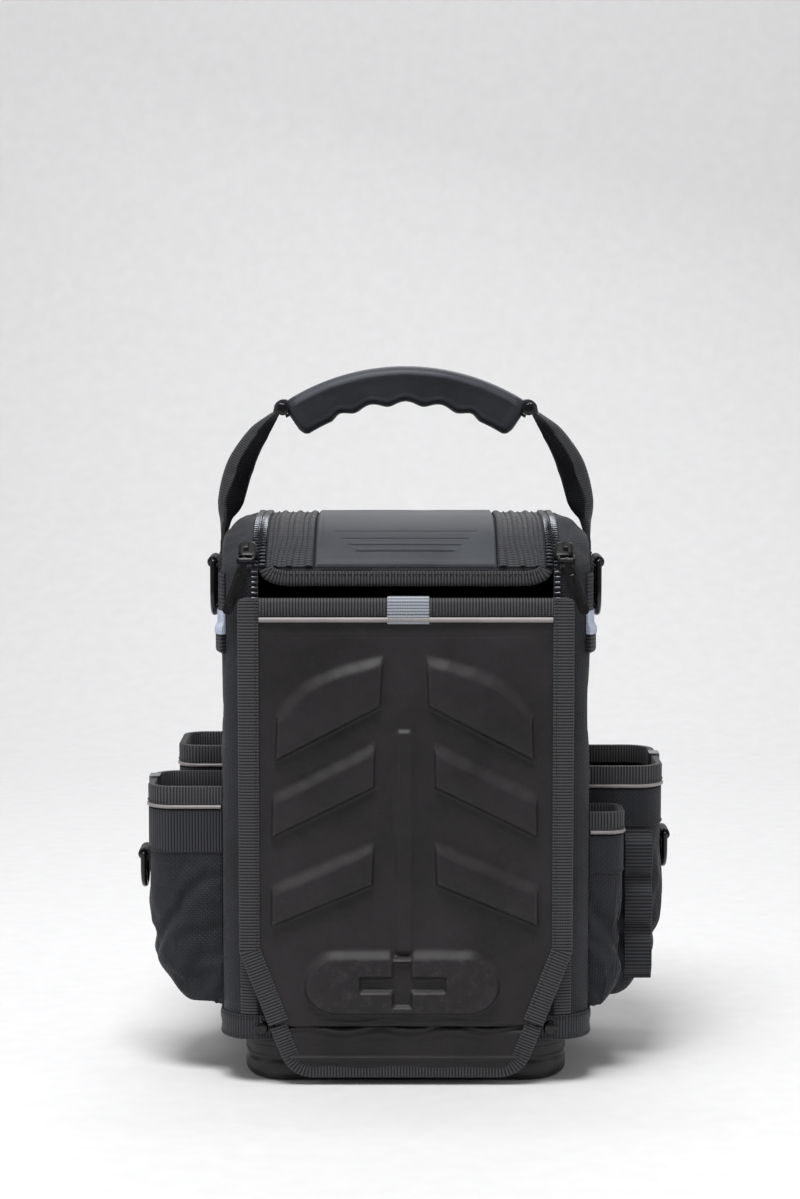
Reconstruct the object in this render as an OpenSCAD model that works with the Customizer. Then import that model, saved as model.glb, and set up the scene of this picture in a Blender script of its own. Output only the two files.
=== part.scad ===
// Soft-sided tool storage caddy. Millimetres, +Z up, front towards -Y.
// The origin is the centre of the underside of the moulded base tub.

/* [Body] */
// Outside width of the fabric body across its side walls
body_width = 240; // [210:1:280]
// Outside depth of the fabric body from front to back
body_depth = 190; // [160:1:230]
// Height of the closed lid crest above the floor
crest_height = 366; // [320:1:420]
// Radius of the upright corners of the body
corner_radius = 22; // [14:1:30]
// Thickness of the padded fabric walls
wall = 4; // [2.5:0.5:6]

/* [Base] */
// Height of the moulded base tub below the fabric
tub_height = 30; // [24:1:36]
// Inset of the tub from the side walls
tub_side_inset = 14; // [8:1:22]
// Inset of the tub from the front and rear walls
tub_front_inset = 7; // [4:1:12]
// Height of the webbing band around the foot of the body
band_height = 17; // [12:1:20]
// Thickness of the webbing band
band_thickness = 1.5; // [1:0.1:2]

/* [Lid] */
// Distance from the side wall to the parting line of the zip
zip_margin = 25; // [22:1:34]
// How far the domed part of the lid reaches back from the front
dome_run = 74; // [60:1:78]
// Drop of the dome from its crest to the front shoulder
dome_drop = 27; // [20:1:34]
// Radius of the long rounded edges above the side walls
shoulder_radius = 20; // [12:1:24]
// Height of the bound front lip of the lid
lip_height = 12; // [10:0.5:15]
// Height of the open gap below the lip of the lid
mouth_gap = 15; // [10:1:22]
// Width of one half of the zip
zip_width = 5; // [4:0.5:6]
// Height of the zip teeth over the fabric
zip_thickness = 2.5; // [1.5:0.1:2.6]
// Width of the moulded pad in the middle of the lid
lid_pad_width = 118; // [90:1:130]

/* [Front panel] */
// Distance from the side wall to the edge of the front panel
panel_margin = 12; // [11:0.5:18]
// Height of the fold line near the foot of the front panel
crease_height = 40; // [38:0.5:44]
// Thickness of the moulded foam sheet
panel_thickness = 5; // [4:0.5:6]
// Height of the raised pads over the sheet
pad_relief = 5.5; // [3:0.5:7]
// Width of the binding tape around the front panel
binding_width = 13.5; // [10:0.5:15]
// Slant of the lower side edges of the panel
taper_angle = 21; // [16:0.5:24]
// Width of the webbing pull tab
tab_width = 27; // [20:1:34]

/* [Handle] */
// Height of the grip crest above the floor
grip_top = 466.5; // [450:0.5:490]
// Length of the moulded grip
grip_length = 158; // [145:1:165]
// Thickness of the grip from front to back
grip_depth = 29; // [24:0.5:34]
// Width of the handle webbing
strap_width = 38; // [30:1:40]
// Thickness of the handle webbing
strap_thickness = 2.6; // [2:0.1:3]

/* [Pockets] */
// Height of the rim of the front left pocket
pocket_rim = 192; // [180:1:205]
// Reach of the large pockets out from the side wall
pocket_reach = 50; // [42:1:56]
// Thickness of the pocket fabric
pocket_wall = 2.5; // [2:0.1:3]
// Height of the binding on the pocket rims
rim_binding = 11; // [8:0.5:14]

/* [Hardware] */
// Wire diameter of the rings
ring_wire = 4; // [3:0.2:4.4]
// Inside width of the rings
ring_width = 26; // [25.5:0.5:30]

/* [Hidden] */
gap = 0.3;
$fn = 48;
hw = body_width / 2;
hd = body_depth / 2;
plan_r = min(corner_radius, zip_margin - 2);
shoulder_r = min(shoulder_radius, zip_margin - 2);
dome_r = (dome_run * dome_run + dome_drop * dome_drop) / (2 * dome_drop);
dome_y = hd - dome_run;
dome_z = crest_height - dome_r;
shoulder_z = crest_height - dome_drop;
lip_z = shoulder_z - lip_height;
mouth_z = lip_z - mouth_gap;
hinge_z = shoulder_z - 7;
seam_x = hw - zip_margin;
band_top = tub_height + band_height;
tub_hw = hw - tub_side_inset;
tub_hd = hd - tub_front_inset;
panel_hw = hw - panel_margin;
panel_top = mouth_z + 8;
panel_foot = 5;
knee_z = crease_height + 50;
foot_r = 22;
top_r = 12;
foot_x = panel_hw - (foot_r + sin(taper_angle) * (knee_z - panel_foot - foot_r)) / cos(taper_angle);
apron_back = hd + band_thickness;
panel_back = hd + 3.2;
panel_front = panel_back + panel_thickness;
bind_front = panel_front + 1.2;
pad_front = panel_front + pad_relief;
piping_y = -panel_front - 0.6;
piping_z = panel_top - binding_width - 0.2;
pivot_z = shoulder_z - 3;
grip_r = 150;
grip_zc = grip_top - grip_r;
grip_in = grip_r - 27;
rod_x = grip_length / 2 + 3;
rod_z = grip_top - 28.5;
strap_in = hw + 1.5 + gap;
strap_out = strap_in + strap_thickness;
fold_half = strap_width * 0.28;
ring_y = -61.5;
ring_z = shoulder_z + 2;
ring_x = hw + 5;
tab_len = 25;

// ---- shared shapes ----

module block(x0, x1, y0, y1, z0, z1) {
    translate([x0, y0, z0])
        cube([x1 - x0, y1 - y0, z1 - z0]);
}

// Extrusion of a front view drawing from y0 to y1
module along_y(y0, y1) {
    translate([0, y1, 0])
        rotate([90, 0, 0])
            linear_extrude(y1 - y0)
                children();
}

// Extrusion of a side view drawing (y, z) from x0 to x1
module along_x(x0, x1) {
    translate([x0, 0, 0])
        rotate([90, 0, 90])
            linear_extrude(x1 - x0)
                children();
}

module both_sides() {
    children();
    mirror([1, 0, 0])
        children();
}

module rounded_plan(w, d, r) {
    translate([-w / 2 + r, -d / 2])
        square([w - 2 * r, d]);
    translate([-w / 2, -d / 2 + r])
        square([w, d - 2 * r]);
    for (sx = [-1, 1], sy = [-1, 1])
        translate([sx * (w / 2 - r), sy * (d / 2 - r)])
            circle(r);
}

// Side view of the bag set in by t
module bag_side(t, z0) {
    translate([-(hd - t), z0])
        square([2 * (hd - t), dome_z - z0]);
    intersection() {
        translate([-(hd - t), dome_z - 1])
            square([2 * (hd - t), dome_r + 50]);
        union() {
            translate([-dome_y, dome_z])
                circle(dome_r - t, $fn = 144);
            translate([dome_y, dome_z])
                circle(dome_r - t, $fn = 144);
            translate([-dome_y, dome_z - 1])
                square([2 * dome_y, dome_r - t + 1]);
        }
    }
}

// Everything below the dome in side view, open at the front and rear
module below_dome(z0) {
    difference() {
        translate([-hd - 10, z0])
            square([2 * hd + 20, crest_height - z0]);
        for (s = [-1, 1])
            difference() {
                translate([s > 0 ? dome_y : -hd - 20, dome_z])
                    square([hd + 20 - dome_y, dome_r + 20]);
                translate([s * dome_y, dome_z])
                    circle(dome_r, $fn = 144);
            }
    }
}

// Everything between the long rounded edges in front view, open at the sides and top
module below_shoulders() {
    steps = 6;
    x = hw - shoulder_r;
    z = crest_height - shoulder_r;
    edge = [for (i = [0 : steps]) [x + shoulder_r * cos(90 * i / steps), z + shoulder_r * sin(90 * i / steps)]];
    other = [for (i = [steps : -1 : 0]) [-edge[i][0], edge[i][1]]];
    polygon(concat([[-hw - 10, 0], [hw + 10, 0], [hw + 10, z]], edge,
        [[x - 1, crest_height + 10], [1 - x, crest_height + 10]], other, [[-hw - 10, z]]));
}

// Space inside the fabric walls, with plain slopes below the rounded edges
module bag_hollow() {
    x = hw - wall;
    z = crest_height - wall;
    c = shoulder_r * 0.6;
    intersection() {
        translate([0, 0, tub_height - 1])
            linear_extrude(z - tub_height + 1)
                rounded_plan(2 * x, 2 * (hd - wall), plan_r - wall);
        along_x(-x, x)
            bag_side(wall, tub_height - 2);
        along_y(-hd, hd)
            polygon([[-x, 0], [x, 0], [x, z - c], [x - c, z], [-x + c, z], [-x, z - c]]);
    }
}

module bag_form() {
    intersection() {
        translate([0, 0, tub_height])
            linear_extrude(crest_height - tub_height + 5)
                rounded_plan(2 * hw, 2 * hd, plan_r);
        along_x(-hw - 5, hw + 5)
            below_dome(tub_height - 5);
        along_y(-hd - 5, hd + 5)
            below_shoulders();
    }
}

// Layer of the given thickness lying on the outside of the bag in side view
module side_layer(t) {
    difference() {
        bag_side(-t, tub_height);
        bag_side(0, tub_height - 1);
    }
}

// Front view outline of the front panel, set in by t, with its top edge set in by u
module panel_outline(t, u) {
    px = panel_hw - t;
    kz = knee_z + t * tan(taper_angle / 2);
    fr = foot_r - t;
    tx = foot_x + fr * cos(taper_angle);
    tz = panel_foot + foot_r - fr * sin(taper_angle);
    tr = max(top_r - t, 1);
    polygon([[-foot_x, panel_foot + t], [foot_x, panel_foot + t], [tx, tz], [px, kz],
        [px, panel_top - u - tr], [-px, panel_top - u - tr], [-px, kz], [-tx, tz]]);
    for (s = [-1, 1])
        translate([s * foot_x, panel_foot + foot_r])
            circle(fr);
    translate([-(px - tr), panel_top - u - tr - 1])
        square([2 * (px - tr), tr + 1]);
    for (s = [-1, 1])
        translate([s * (px - tr), panel_top - u - tr])
            circle(tr);
}

// Side view band of the sloping apron between two depths
module apron_side(back, front) {
    slope = 5;
    polygon([[-back, crease_height - 0.2], [-front, crease_height - 0.2], [-front, tub_height - gap],
        [-front + slope, panel_foot], [-back + slope, panel_foot], [-back, tub_height - gap]]);
}

// ---- base and body ----

module foot_view(half, h, r) {
    translate([-half, r])
        square([2 * half, h - r]);
    translate([-half + r, 0])
        square([2 * (half - r), h]);
    for (s = [-1, 1])
        translate([s * (half - r), r])
            circle(r);
}

module base_tub() {
    seat = wall + gap;
    color([0.10, 0.10, 0.11])
        difference() {
            union() {
                intersection() {
                    linear_extrude(tub_height)
                        rounded_plan(2 * tub_hw, 2 * tub_hd, 28);
                    along_y(-hd, hd)
                        foot_view(tub_hw, tub_height, 7);
                    along_x(-hw, hw)
                        foot_view(tub_hd, tub_height, 7);
                }
                translate([0, 0, tub_height - 6])
                    linear_extrude(6)
                        rounded_plan(2 * tub_hw + 4, 2 * tub_hd + 4, 30);
                translate([0, 0, tub_height])
                    linear_extrude(band_height - 1)
                        rounded_plan(2 * (hw - seat), 2 * (hd - seat), plan_r - seat);
            }
            translate([0, 0, 3])
                linear_extrude(tub_height + band_height)
                    rounded_plan(2 * tub_hw - 7, 2 * tub_hd - 7, 24.5);
            translate([0, 0, tub_height + 3])
                linear_extrude(tub_height + band_height)
                    rounded_plan(2 * (hw - seat - 2.5), 2 * (hd - seat - 2.5), plan_r - seat - 2.5);
        }
}

module body_shell() {
    color([0.13, 0.13, 0.15])
        difference() {
            bag_form();
            bag_hollow();
            block(-seam_x, seam_x, -hd - 1, 0, mouth_z, crest_height + 1);
            block(-seam_x, seam_x, -1, hd + 1, hinge_z, crest_height + 1);
        }
}

module base_band() {
    color([0.11, 0.11, 0.12])
        translate([0, 0, tub_height])
            linear_extrude(band_height)
                difference() {
                    rounded_plan(2 * (hw + band_thickness), 2 * (hd + band_thickness),
                        plan_r + band_thickness);
                    rounded_plan(2 * hw, 2 * hd, plan_r);
                }
}

module rivet() {
    cylinder(h = 1, r = 4.3, $fn = 24);
    translate([0, 0, 1])
        cylinder(h = 0.8, r1 = 4.3, r2 = 2.6, $fn = 24);
}

module band_rivets() {
    rz = tub_height + band_height / 2;
    rx = panel_hw - 14;
    color([0.06, 0.06, 0.07]) {
        for (s = [-1, 1]) {
            translate([s * rx, -apron_back, rz])
                rotate([90, 0, 0])
                    rivet();
            translate([s * rx, apron_back, rz])
                rotate([-90, 0, 0])
                    rivet();
            for (t = [-1, 1])
                translate([s * apron_back + s * (hw - hd), t * 55, rz])
                    rotate([0, s * 90, 0])
                        rivet();
        }
    }
}

module corner_bindings() {
    color([0.09, 0.09, 0.10])
        for (s = [-1, 1])
            translate([0, 0, band_top])
                linear_extrude(mouth_z - 16 - band_top)
                    intersection() {
                        difference() {
                            rounded_plan(2 * hw + 2.4, 2 * hd + 2.4, plan_r + 1.2);
                            rounded_plan(2 * hw, 2 * hd, plan_r);
                        }
                        translate([s > 0 ? seam_x + 1 : -seam_x - 12, -hd - 5])
                            square([11, 30]);
                    }
}

module mouth_zip() {
    color([0.30, 0.30, 0.32])
        both_sides()
            difference() {
                along_x(seam_x, seam_x + zip_width)
                    side_layer(zip_thickness);
                block(0, hw, -hd - 9, 0, 0, mouth_z);
                block(0, hw, 0, hd + 9, 0, hinge_z);
            }
}

module rear_welt() {
    color([0.09, 0.09, 0.10])
        block(-seam_x, seam_x, hd, hd + 1.5, hinge_z - 14, hinge_z - 2);
}

module centre_divider() {
    low = hw - wall - gap - 2.5;
    color([0.16, 0.16, 0.18]) {
        block(-low, low, -2, 2, tub_height + 3, band_top);
        block(-(hw - wall), hw - wall, -2, 2, band_top, mouth_z - 22);
    }
}

// Row of open-topped tool sleeves standing on the inside of a wall
module sleeves(n, top, foot) {
    len = 2 * seam_x - 6;
    cell = (len - 2) / n;
    difference() {
        block(-len / 2, len / 2, hd - wall - 16, hd - wall, foot, top);
        for (i = [0 : n - 1])
            block(-len / 2 + 2 + i * cell, -len / 2 + (i + 1) * cell, hd - wall - 14, hd - wall + 1,
                foot + 2, top + 1);
    }
}

module inner_pockets_rear() {
    color([0.17, 0.17, 0.19])
        sleeves(4, mouth_z - 90, band_top + 10);
}

module inner_pockets_front() {
    color([0.17, 0.17, 0.19])
        mirror([0, 1, 0])
            sleeves(3, mouth_z - 120, band_top + 10);
}

// ---- side fittings ----

module strap_anchors() {
    color([0.10, 0.10, 0.11])
        both_sides()
            block(hw, hw + 1.5, -strap_width / 2 - 3, strap_width / 2 + 3, pivot_z - 52, pivot_z + 6);
}

// Webbing tab that wraps the bar of a ring, front view on the right side
module ring_tab_view(x, z, low) {
    difference() {
        union() {
            translate([x, low])
                square([1.5, z - low]);
            translate([x + 5, z])
                circle(ring_wire / 2 + 2.1);
            translate([x, z - 3])
                square([5, 2]);
        }
        translate([x + 5, z])
            circle(ring_wire / 2 + gap);
        translate([x - 10, low - 1])
            square([10, z - low + 20]);
    }
}

module ring_tab_right() {
    color([0.12, 0.12, 0.13])
        along_y(ring_y - tab_len / 2, ring_y + tab_len / 2)
            ring_tab_view(hw, ring_z, mouth_z - 26);
}

module ring_tab_left() {
    mirror([1, 0, 0])
        ring_tab_right();
}

module side_patches() {
    color([0.72, 0.75, 0.83])
        both_sides()
            block(hw + 1.5, hw + 2.2, ring_y - tab_len / 2 + 1, ring_y + tab_len / 2 - 1,
                mouth_z - 17, mouth_z - 1);
}

// D-shaped ring hanging from its straight bar
module ring(w, legs) {
    half = w / 2 + ring_wire / 2;
    rw = ring_wire / 2;
    rotate([90, 0, 0])
        translate([0, 0, -half])
            cylinder(h = 2 * half, r = rw, $fn = 20);
    for (s = [-1, 1]) {
        translate([0, s * half, -legs])
            cylinder(h = legs, r = rw, $fn = 20);
        translate([0, s * half, 0])
            sphere(rw, $fn = 20);
    }
    translate([0, 0, -legs])
        rotate([0, 90, 0])
            rotate([0, 0, -90])
                rotate_extrude(angle = 180, $fn = 48)
                    translate([half, 0])
                        circle(rw, $fn = 20);
}

module d_ring_right() {
    color([0.04, 0.04, 0.05])
        translate([ring_x, ring_y, ring_z])
            ring(ring_width, 19);
}

module d_ring_left() {
    mirror([1, 0, 0])
        d_ring_right();
}

// ---- outside pockets, each drawn on the right side wall ----

module pocket_plan(len, reach, r, t) {
    translate([0, -(len / 2 - t)])
        square([reach - r, len - 2 * t]);
    translate([0, -(len / 2 - r)])
        square([reach - t, len - 2 * r]);
    for (s = [-1, 1])
        translate([reach - r, s * (len / 2 - r)])
            circle(r - t, $fn = 32);
}

module pocket_view(reach, rim, foot, t) {
    polygon([[0, foot + t], [reach * 0.35 - t, foot + t], [reach - t, foot + reach * 0.9],
        [reach - t, rim + t], [0, rim + t]]);
}

module pocket(y, len, reach, r, rim, foot) {
    translate([hw, y, 0])
        difference() {
            intersection() {
                linear_extrude(rim)
                    pocket_plan(len, reach, r, 0);
                along_y(-len / 2, len / 2)
                    pocket_view(reach, rim, foot, 0);
            }
            intersection() {
                linear_extrude(rim + 2)
                    pocket_plan(len, reach, r, pocket_wall);
                along_y(-len / 2, len / 2)
                    pocket_view(reach, rim, foot, pocket_wall);
            }
        }
}

// Band of the given thickness around the outside of a pocket
module pocket_belt(y, len, reach, r, z0, z1, out) {
    translate([hw, y, z0])
        linear_extrude(z1 - z0)
            difference() {
                pocket_plan(len + 2 * out, reach + out, r + out, 0);
                pocket_plan(len, reach, r, 0);
            }
}

// Tape folded over the rim of a pocket
module rim_tape(y, len, reach, r, rim) {
    translate([hw, y, rim - rim_binding])
        difference() {
            linear_extrude(rim_binding + 1)
                pocket_plan(len + 2, reach + 1, r + 1, 0);
            translate([0, 0, -1])
                linear_extrude(rim_binding + 3)
                    pocket_plan(len, reach, r, pocket_wall + 1);
            translate([0, 0, -1])
                linear_extrude(rim_binding + 1)
                    difference() {
                        pocket_plan(len, reach, r, 0);
                        pocket_plan(len, reach, r, pocket_wall);
                    }
        }
}

// Place, length, reach, corner radius, rim and foot of each pocket
lf = [-37, 68, pocket_reach - 1, 16, pocket_rim, 54];
lr = [37, 68, pocket_reach * 0.68, 14, pocket_rim + 16, 92];
rf = [-53, 36, pocket_reach * 0.46, 10, pocket_rim - 17, band_top + 1];
rr = [19, 98, pocket_reach + 2, 18, pocket_rim + 7, band_top + 1];

module pocket_left_front() {
    color([0.12, 0.12, 0.14])
        mirror([1, 0, 0])
            pocket(lf[0], lf[1], lf[2], lf[3], lf[4], lf[5]);
}

module pocket_left_rear() {
    color([0.12, 0.12, 0.14])
        mirror([1, 0, 0])
            pocket(lr[0], lr[1], lr[2], lr[3], lr[4], lr[5]);
}

module pocket_right_front() {
    color([0.12, 0.12, 0.14])
        pocket(rf[0], rf[1], rf[2], rf[3], rf[4], rf[5]);
}

module pocket_right_rear() {
    color([0.12, 0.12, 0.14])
        pocket(rr[0], rr[1], rr[2], rr[3], rr[4], rr[5]);
}

module rim_bindings() {
    color([0.09, 0.09, 0.10]) {
        mirror([1, 0, 0]) {
            rim_tape(lf[0], lf[1], lf[2], lf[3], lf[4]);
            rim_tape(lr[0], lr[1], lr[2], lr[3], lr[4]);
        }
        rim_tape(rf[0], rf[1], rf[2], rf[3], rf[4]);
        rim_tape(rr[0], rr[1], rr[2], rr[3], rr[4]);
    }
}

module pocket_pipings() {
    drop = rim_binding + 2.6;
    color([0.55, 0.54, 0.54]) {
        mirror([1, 0, 0]) {
            pocket_belt(lf[0], lf[1], lf[2], lf[3], lf[4] - drop, lf[4] - rim_binding, 1.6);
            pocket_belt(lr[0], lr[1], lr[2], lr[3], lr[4] - drop, lr[4] - rim_binding, 1.6);
        }
        pocket_belt(rf[0], rf[1], rf[2], rf[3], rf[4] - drop, rf[4] - rim_binding, 1.6);
        pocket_belt(rr[0], rr[1], rr[2], rr[3], rr[4] - drop, rr[4] - rim_binding, 1.6);
    }
}

module pocket_bands() {
    drop = rim_binding + 2.6;
    color([0.11, 0.11, 0.12]) {
        mirror([1, 0, 0]) {
            pocket_belt(lf[0], lf[1], lf[2], lf[3], lf[4] - drop - 29, lf[4] - drop, 1);
            pocket_belt(lr[0], lr[1], lr[2], lr[3], lr[4] - drop - 25, lr[4] - drop, 1);
        }
        pocket_belt(rf[0], rf[1], rf[2], rf[3], rf[4] - drop - 26, rf[4] - drop, 1);
        pocket_belt(rr[0], rr[1], rr[2], rr[3], rr[4] - drop - 26, rr[4] - drop, 1);
    }
}

// Webbing sewn down at intervals so that it stands off in tool loops
module tool_loops() {
    face = rr[0] - rr[1] / 2;
    top = rr[4] - rim_binding - 30;
    x0 = hw + rf[2] + 3.5;
    pitch = 34;
    color([0.11, 0.11, 0.12])
        along_x(x0, x0 + 14)
            for (i = [0 : 2])
                translate([face, top - pitch * (i + 1)])
                    difference() {
                        polygon([[0, 0], [0, pitch], [-1.6, pitch], [-7, pitch - 7], [-7, 7], [-1.6, 0]]);
                        polygon([[0, 3.5], [0, pitch - 3.5], [-1, pitch - 3.5], [-5.4, pitch - 8],
                            [-5.4, 8], [-1, 3.5]]);
                    }
}

// Spring clip folded over a pocket rim
module clip(x, y, rim) {
    top = rim + 1;
    low = rim - rim_binding;
    translate([x, y, 0])
        difference() {
            block(-1.2, pocket_wall + 3.2, -7, 7, low, top + 1.4);
            block(0, pocket_wall + 2, -8, 8, low - 1, top);
        }
}

module tape_clips() {
    color([0.70, 0.70, 0.72]) {
        mirror([1, 0, 0])
            clip(hw + lf[2] - pocket_wall - 1, lf[0] + 8, lf[4]);
        clip(hw + rr[2] - pocket_wall - 1, rr[0] + 6, rr[4]);
    }
}

lf_ring_z = lf[4] - 48;
rr_ring_z = rr[4] - 52;

module pocket_ring_loops() {
    color([0.12, 0.12, 0.13]) {
        mirror([1, 0, 0])
            along_y(lf[0] - 11, lf[0] + 11)
                ring_tab_view(hw + lf[2], lf_ring_z, lf_ring_z - 12);
        along_y(rr[0] - 11, rr[0] + 11)
            ring_tab_view(hw + rr[2], rr_ring_z, rr_ring_z - 12);
    }
}

module pocket_ring_left() {
    color([0.04, 0.04, 0.05])
        translate([-(hw + lf[2] + 5), lf[0], lf_ring_z])
            ring(ring_width - 2, 8);
}

module pocket_ring_right() {
    color([0.04, 0.04, 0.05])
        translate([hw + rr[2] + 5, rr[0], rr_ring_z])
            ring(ring_width - 2, 8);
}

// ---- front panel ----

module apron() {
    color([0.13, 0.12, 0.13])
        intersection() {
            along_y(-panel_front, 0)
                panel_outline(1.2, 1.2);
            along_x(-hw, hw)
                apron_side(apron_back, apron_back + panel_thickness);
        }
}

module apron_binding() {
    color([0.09, 0.09, 0.10])
        difference() {
            intersection() {
                along_y(-bind_front, 0)
                    panel_outline(0, 0);
                along_x(-hw, hw)
                    apron_side(apron_back, apron_back + panel_thickness + 1.2);
            }
            along_y(-bind_front - 1, 1)
                panel_outline(binding_width, 0);
            intersection() {
                along_y(-panel_front, 0)
                    panel_outline(1.2, 1.2);
                along_x(-hw, hw)
                    apron_side(apron_back - 1, apron_back + panel_thickness);
            }
        }
}

module front_sheet() {
    color([0.13, 0.12, 0.13])
        difference() {
            along_y(-panel_front, -panel_back)
                panel_outline(1.2, 1.2);
            block(-hw, hw, -hw, 0, -1, crease_height + 0.2);
        }
}

module panel_binding() {
    color([0.09, 0.09, 0.10])
        difference() {
            along_y(-bind_front, -(panel_back - 0.5))
                panel_outline(0, 0);
            along_y(-bind_front - 1, 1)
                panel_outline(binding_width, binding_width - 2);
            along_y(-panel_front, -panel_back)
                panel_outline(1.2, 1.2);
            block(-hw, hw, -hw, 0, -1, crease_height + 0.2);
        }
}

// Slanted pad between two heights on its inner and outer ends, right side
module pad(x0, x1, a, b, c, d) {
    along_y(-pad_front, -panel_front)
        polygon([[x0, a], [x1, b], [x1, c], [x0, d]]);
}

module chevron_pads() {
    in = 15;
    out = panel_hw - 22;
    t = mouth_z - 26;
    color([0.15, 0.14, 0.15])
        both_sides() {
            intersection() {
                pad(in - 1, out - 1, t, t, t - 74, t - 36);
                along_y(-pad_front, -panel_front)
                    translate([-10, t - 125])
                        circle(127, $fn = 96);
            }
            pad(in + 2, out, t - 55, t - 90, t - 122, t - 89);
            pad(in + 3, out + 1, t - 120, t - 150, t - 181, t - 153);
        }
}

module lumbar_pad() {
    w = 65;
    top = crease_height + 54.5;
    low = crease_height + 7;
    r = (top - low) / 2;
    color([0.15, 0.14, 0.15])
        difference() {
            union() {
                along_y(-pad_front, -panel_front)
                    union() {
                        translate([-w + r, low])
                            square([2 * (w - r), 2 * r]);
                        for (s = [-1, 1])
                            translate([s * (w - r), low + r])
                                circle(r);
                    }
                along_y(-panel_front - 2, -panel_front)
                    union() {
                        translate([-6.5, top - 1])
                            square([13, 137]);
                        translate([0, top + 136])
                            circle(6.5);
                    }
            }
            along_y(-pad_front - 1, -panel_front - 2)
                union() {
                    translate([-28, low + 16])
                        square([56, 11]);
                    translate([-6.6, low + 7])
                        square([13.2, 29]);
                    translate([-6.7, top - 11])
                        square([13.4, 20]);
                }
        }
}

module panel_piping() {
    color([0.55, 0.54, 0.54])
        difference() {
            translate([-(panel_hw - binding_width), piping_y, piping_z])
                rotate([0, 90, 0])
                    cylinder(h = 2 * (panel_hw - binding_width), r = 1.7, $fn = 20);
            block(-hw, hw, -panel_front, 0, 0, panel_top);
        }
}

module pull_tab() {
    x0 = -tab_width / 2 + 1.5;
    color([0.55, 0.57, 0.61])
        difference() {
            block(x0, x0 + tab_width, -bind_front - 1.6, -(panel_back - 1.9), panel_top - 16.5,
                panel_top + 1.4);
            block(x0 - 1, x0 + tab_width + 1, -bind_front, 0, 0, panel_top - 6);
            block(x0 - 1, x0 + tab_width + 1, -bind_front, -(panel_back - 0.5), 0, panel_top);
            translate([-hw, piping_y, piping_z])
                rotate([0, 90, 0])
                    cylinder(h = 2 * hw, r = 1.7, $fn = 20);
        }
}

// ---- lid ----

// Front view of the lip of the lid with its rounded lower corners
module lip_view(w) {
    r = lip_height - 0.5;
    translate([-w + r, lip_z])
        square([2 * (w - r), r]);
    for (s = [-1, 1])
        intersection() {
            translate([s * (w - r), lip_z + r])
                circle(r);
            translate([-w, lip_z])
                square([2 * w, r]);
        }
}

module lid_shell() {
    w = seam_x - gap;
    color([0.14, 0.14, 0.16]) {
        difference() {
            along_x(-w, w)
                difference() {
                    bag_side(0, tub_height);
                    bag_side(wall, tub_height - 1);
                }
            block(-hw, hw, -hd - 1, 0, 0, shoulder_z - 0.5);
            block(-hw, hw, 0, hd + 1, 0, hinge_z + gap);
        }
        along_y(-hd, -hd + wall)
            lip_view(w);
    }
}

module lid_binding() {
    color([0.09, 0.09, 0.10])
        along_y(-hd - 1.2, -hd)
            lip_view(seam_x - gap);
}

module lid_pad() {
    arcs = [[21.5, 46.5], [26, 42.5], [29.7, 37.5], [33, 32.5]];
    color([0.23, 0.24, 0.26])
        difference() {
            along_x(-lid_pad_width / 2, lid_pad_width / 2)
                side_layer(2.4);
            block(-hw, hw, -hd - 9, 0, 0, shoulder_z - 0.3);
            block(-hw, hw, dome_y + 12, hd + 9, 0, crest_height + 9);
            block(-hw, hw, 0, hd + 9, 0, hinge_z);
            for (a = arcs)
                translate([0, -dome_y, dome_z])
                    rotate([a[0], 0, 0])
                        block(-a[1], a[1], -0.7, 0.7, dome_r + 1, dome_r + 9);
        }
}

module lid_webbing() {
    inner = lid_pad_width / 2;
    outer = seam_x - gap - zip_width;
    color([0.11, 0.11, 0.12])
        both_sides()
            difference() {
                along_x(inner, outer)
                    side_layer(1.2);
                block(-hw, hw, -hd - 9, 0, 0, shoulder_z - 0.3);
                block(-hw, hw, 0, hd + 9, 0, shoulder_z + 2);
            }
}

module lid_zip() {
    color([0.30, 0.30, 0.32])
        both_sides()
            difference() {
                along_x(seam_x - gap - zip_width, seam_x - gap)
                    side_layer(zip_thickness);
                block(-hw, hw, -hd - 9, 0, 0, shoulder_z - 0.3);
                block(-hw, hw, 0, hd + 9, 0, shoulder_z + 4);
            }
}

// ---- zip hardware ----

pull_x = seam_x + 7.8;
pull_y = -hd - 2.9;
pull_z = shoulder_z + 5.2;
pull_lean = 20;
slider_tilt = 34;
slider_len = 16;
slider_tall = 3.6;
ear_r = 2.9;
pin_r = 1.6;
pull_long = 34;
pull_half = 3.5;

// Side view point on a slider, along its length and up from the zip
function on_slider(along, up) = [
    -dome_y - (dome_r + zip_thickness + up) * sin(slider_tilt) - along * cos(slider_tilt),
    dome_z + (dome_r + zip_thickness + up) * cos(slider_tilt) - along * sin(slider_tilt)];

// Side view of an ear that carries the pin of a pull
module slider_ear() {
    difference() {
        union() {
            translate([pull_y, pull_z])
                circle(ear_r, $fn = 24);
            polygon([[pull_y - 2, pull_z + 2.1], [pull_y + 1.4, pull_z - 2.2], on_slider(slider_len / 2 - 1, gap),
                on_slider(slider_len / 2 - 1, slider_tall)]);
        }
        translate([pull_y, pull_z])
            circle(pin_r + gap, $fn = 24);
    }
}

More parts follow.
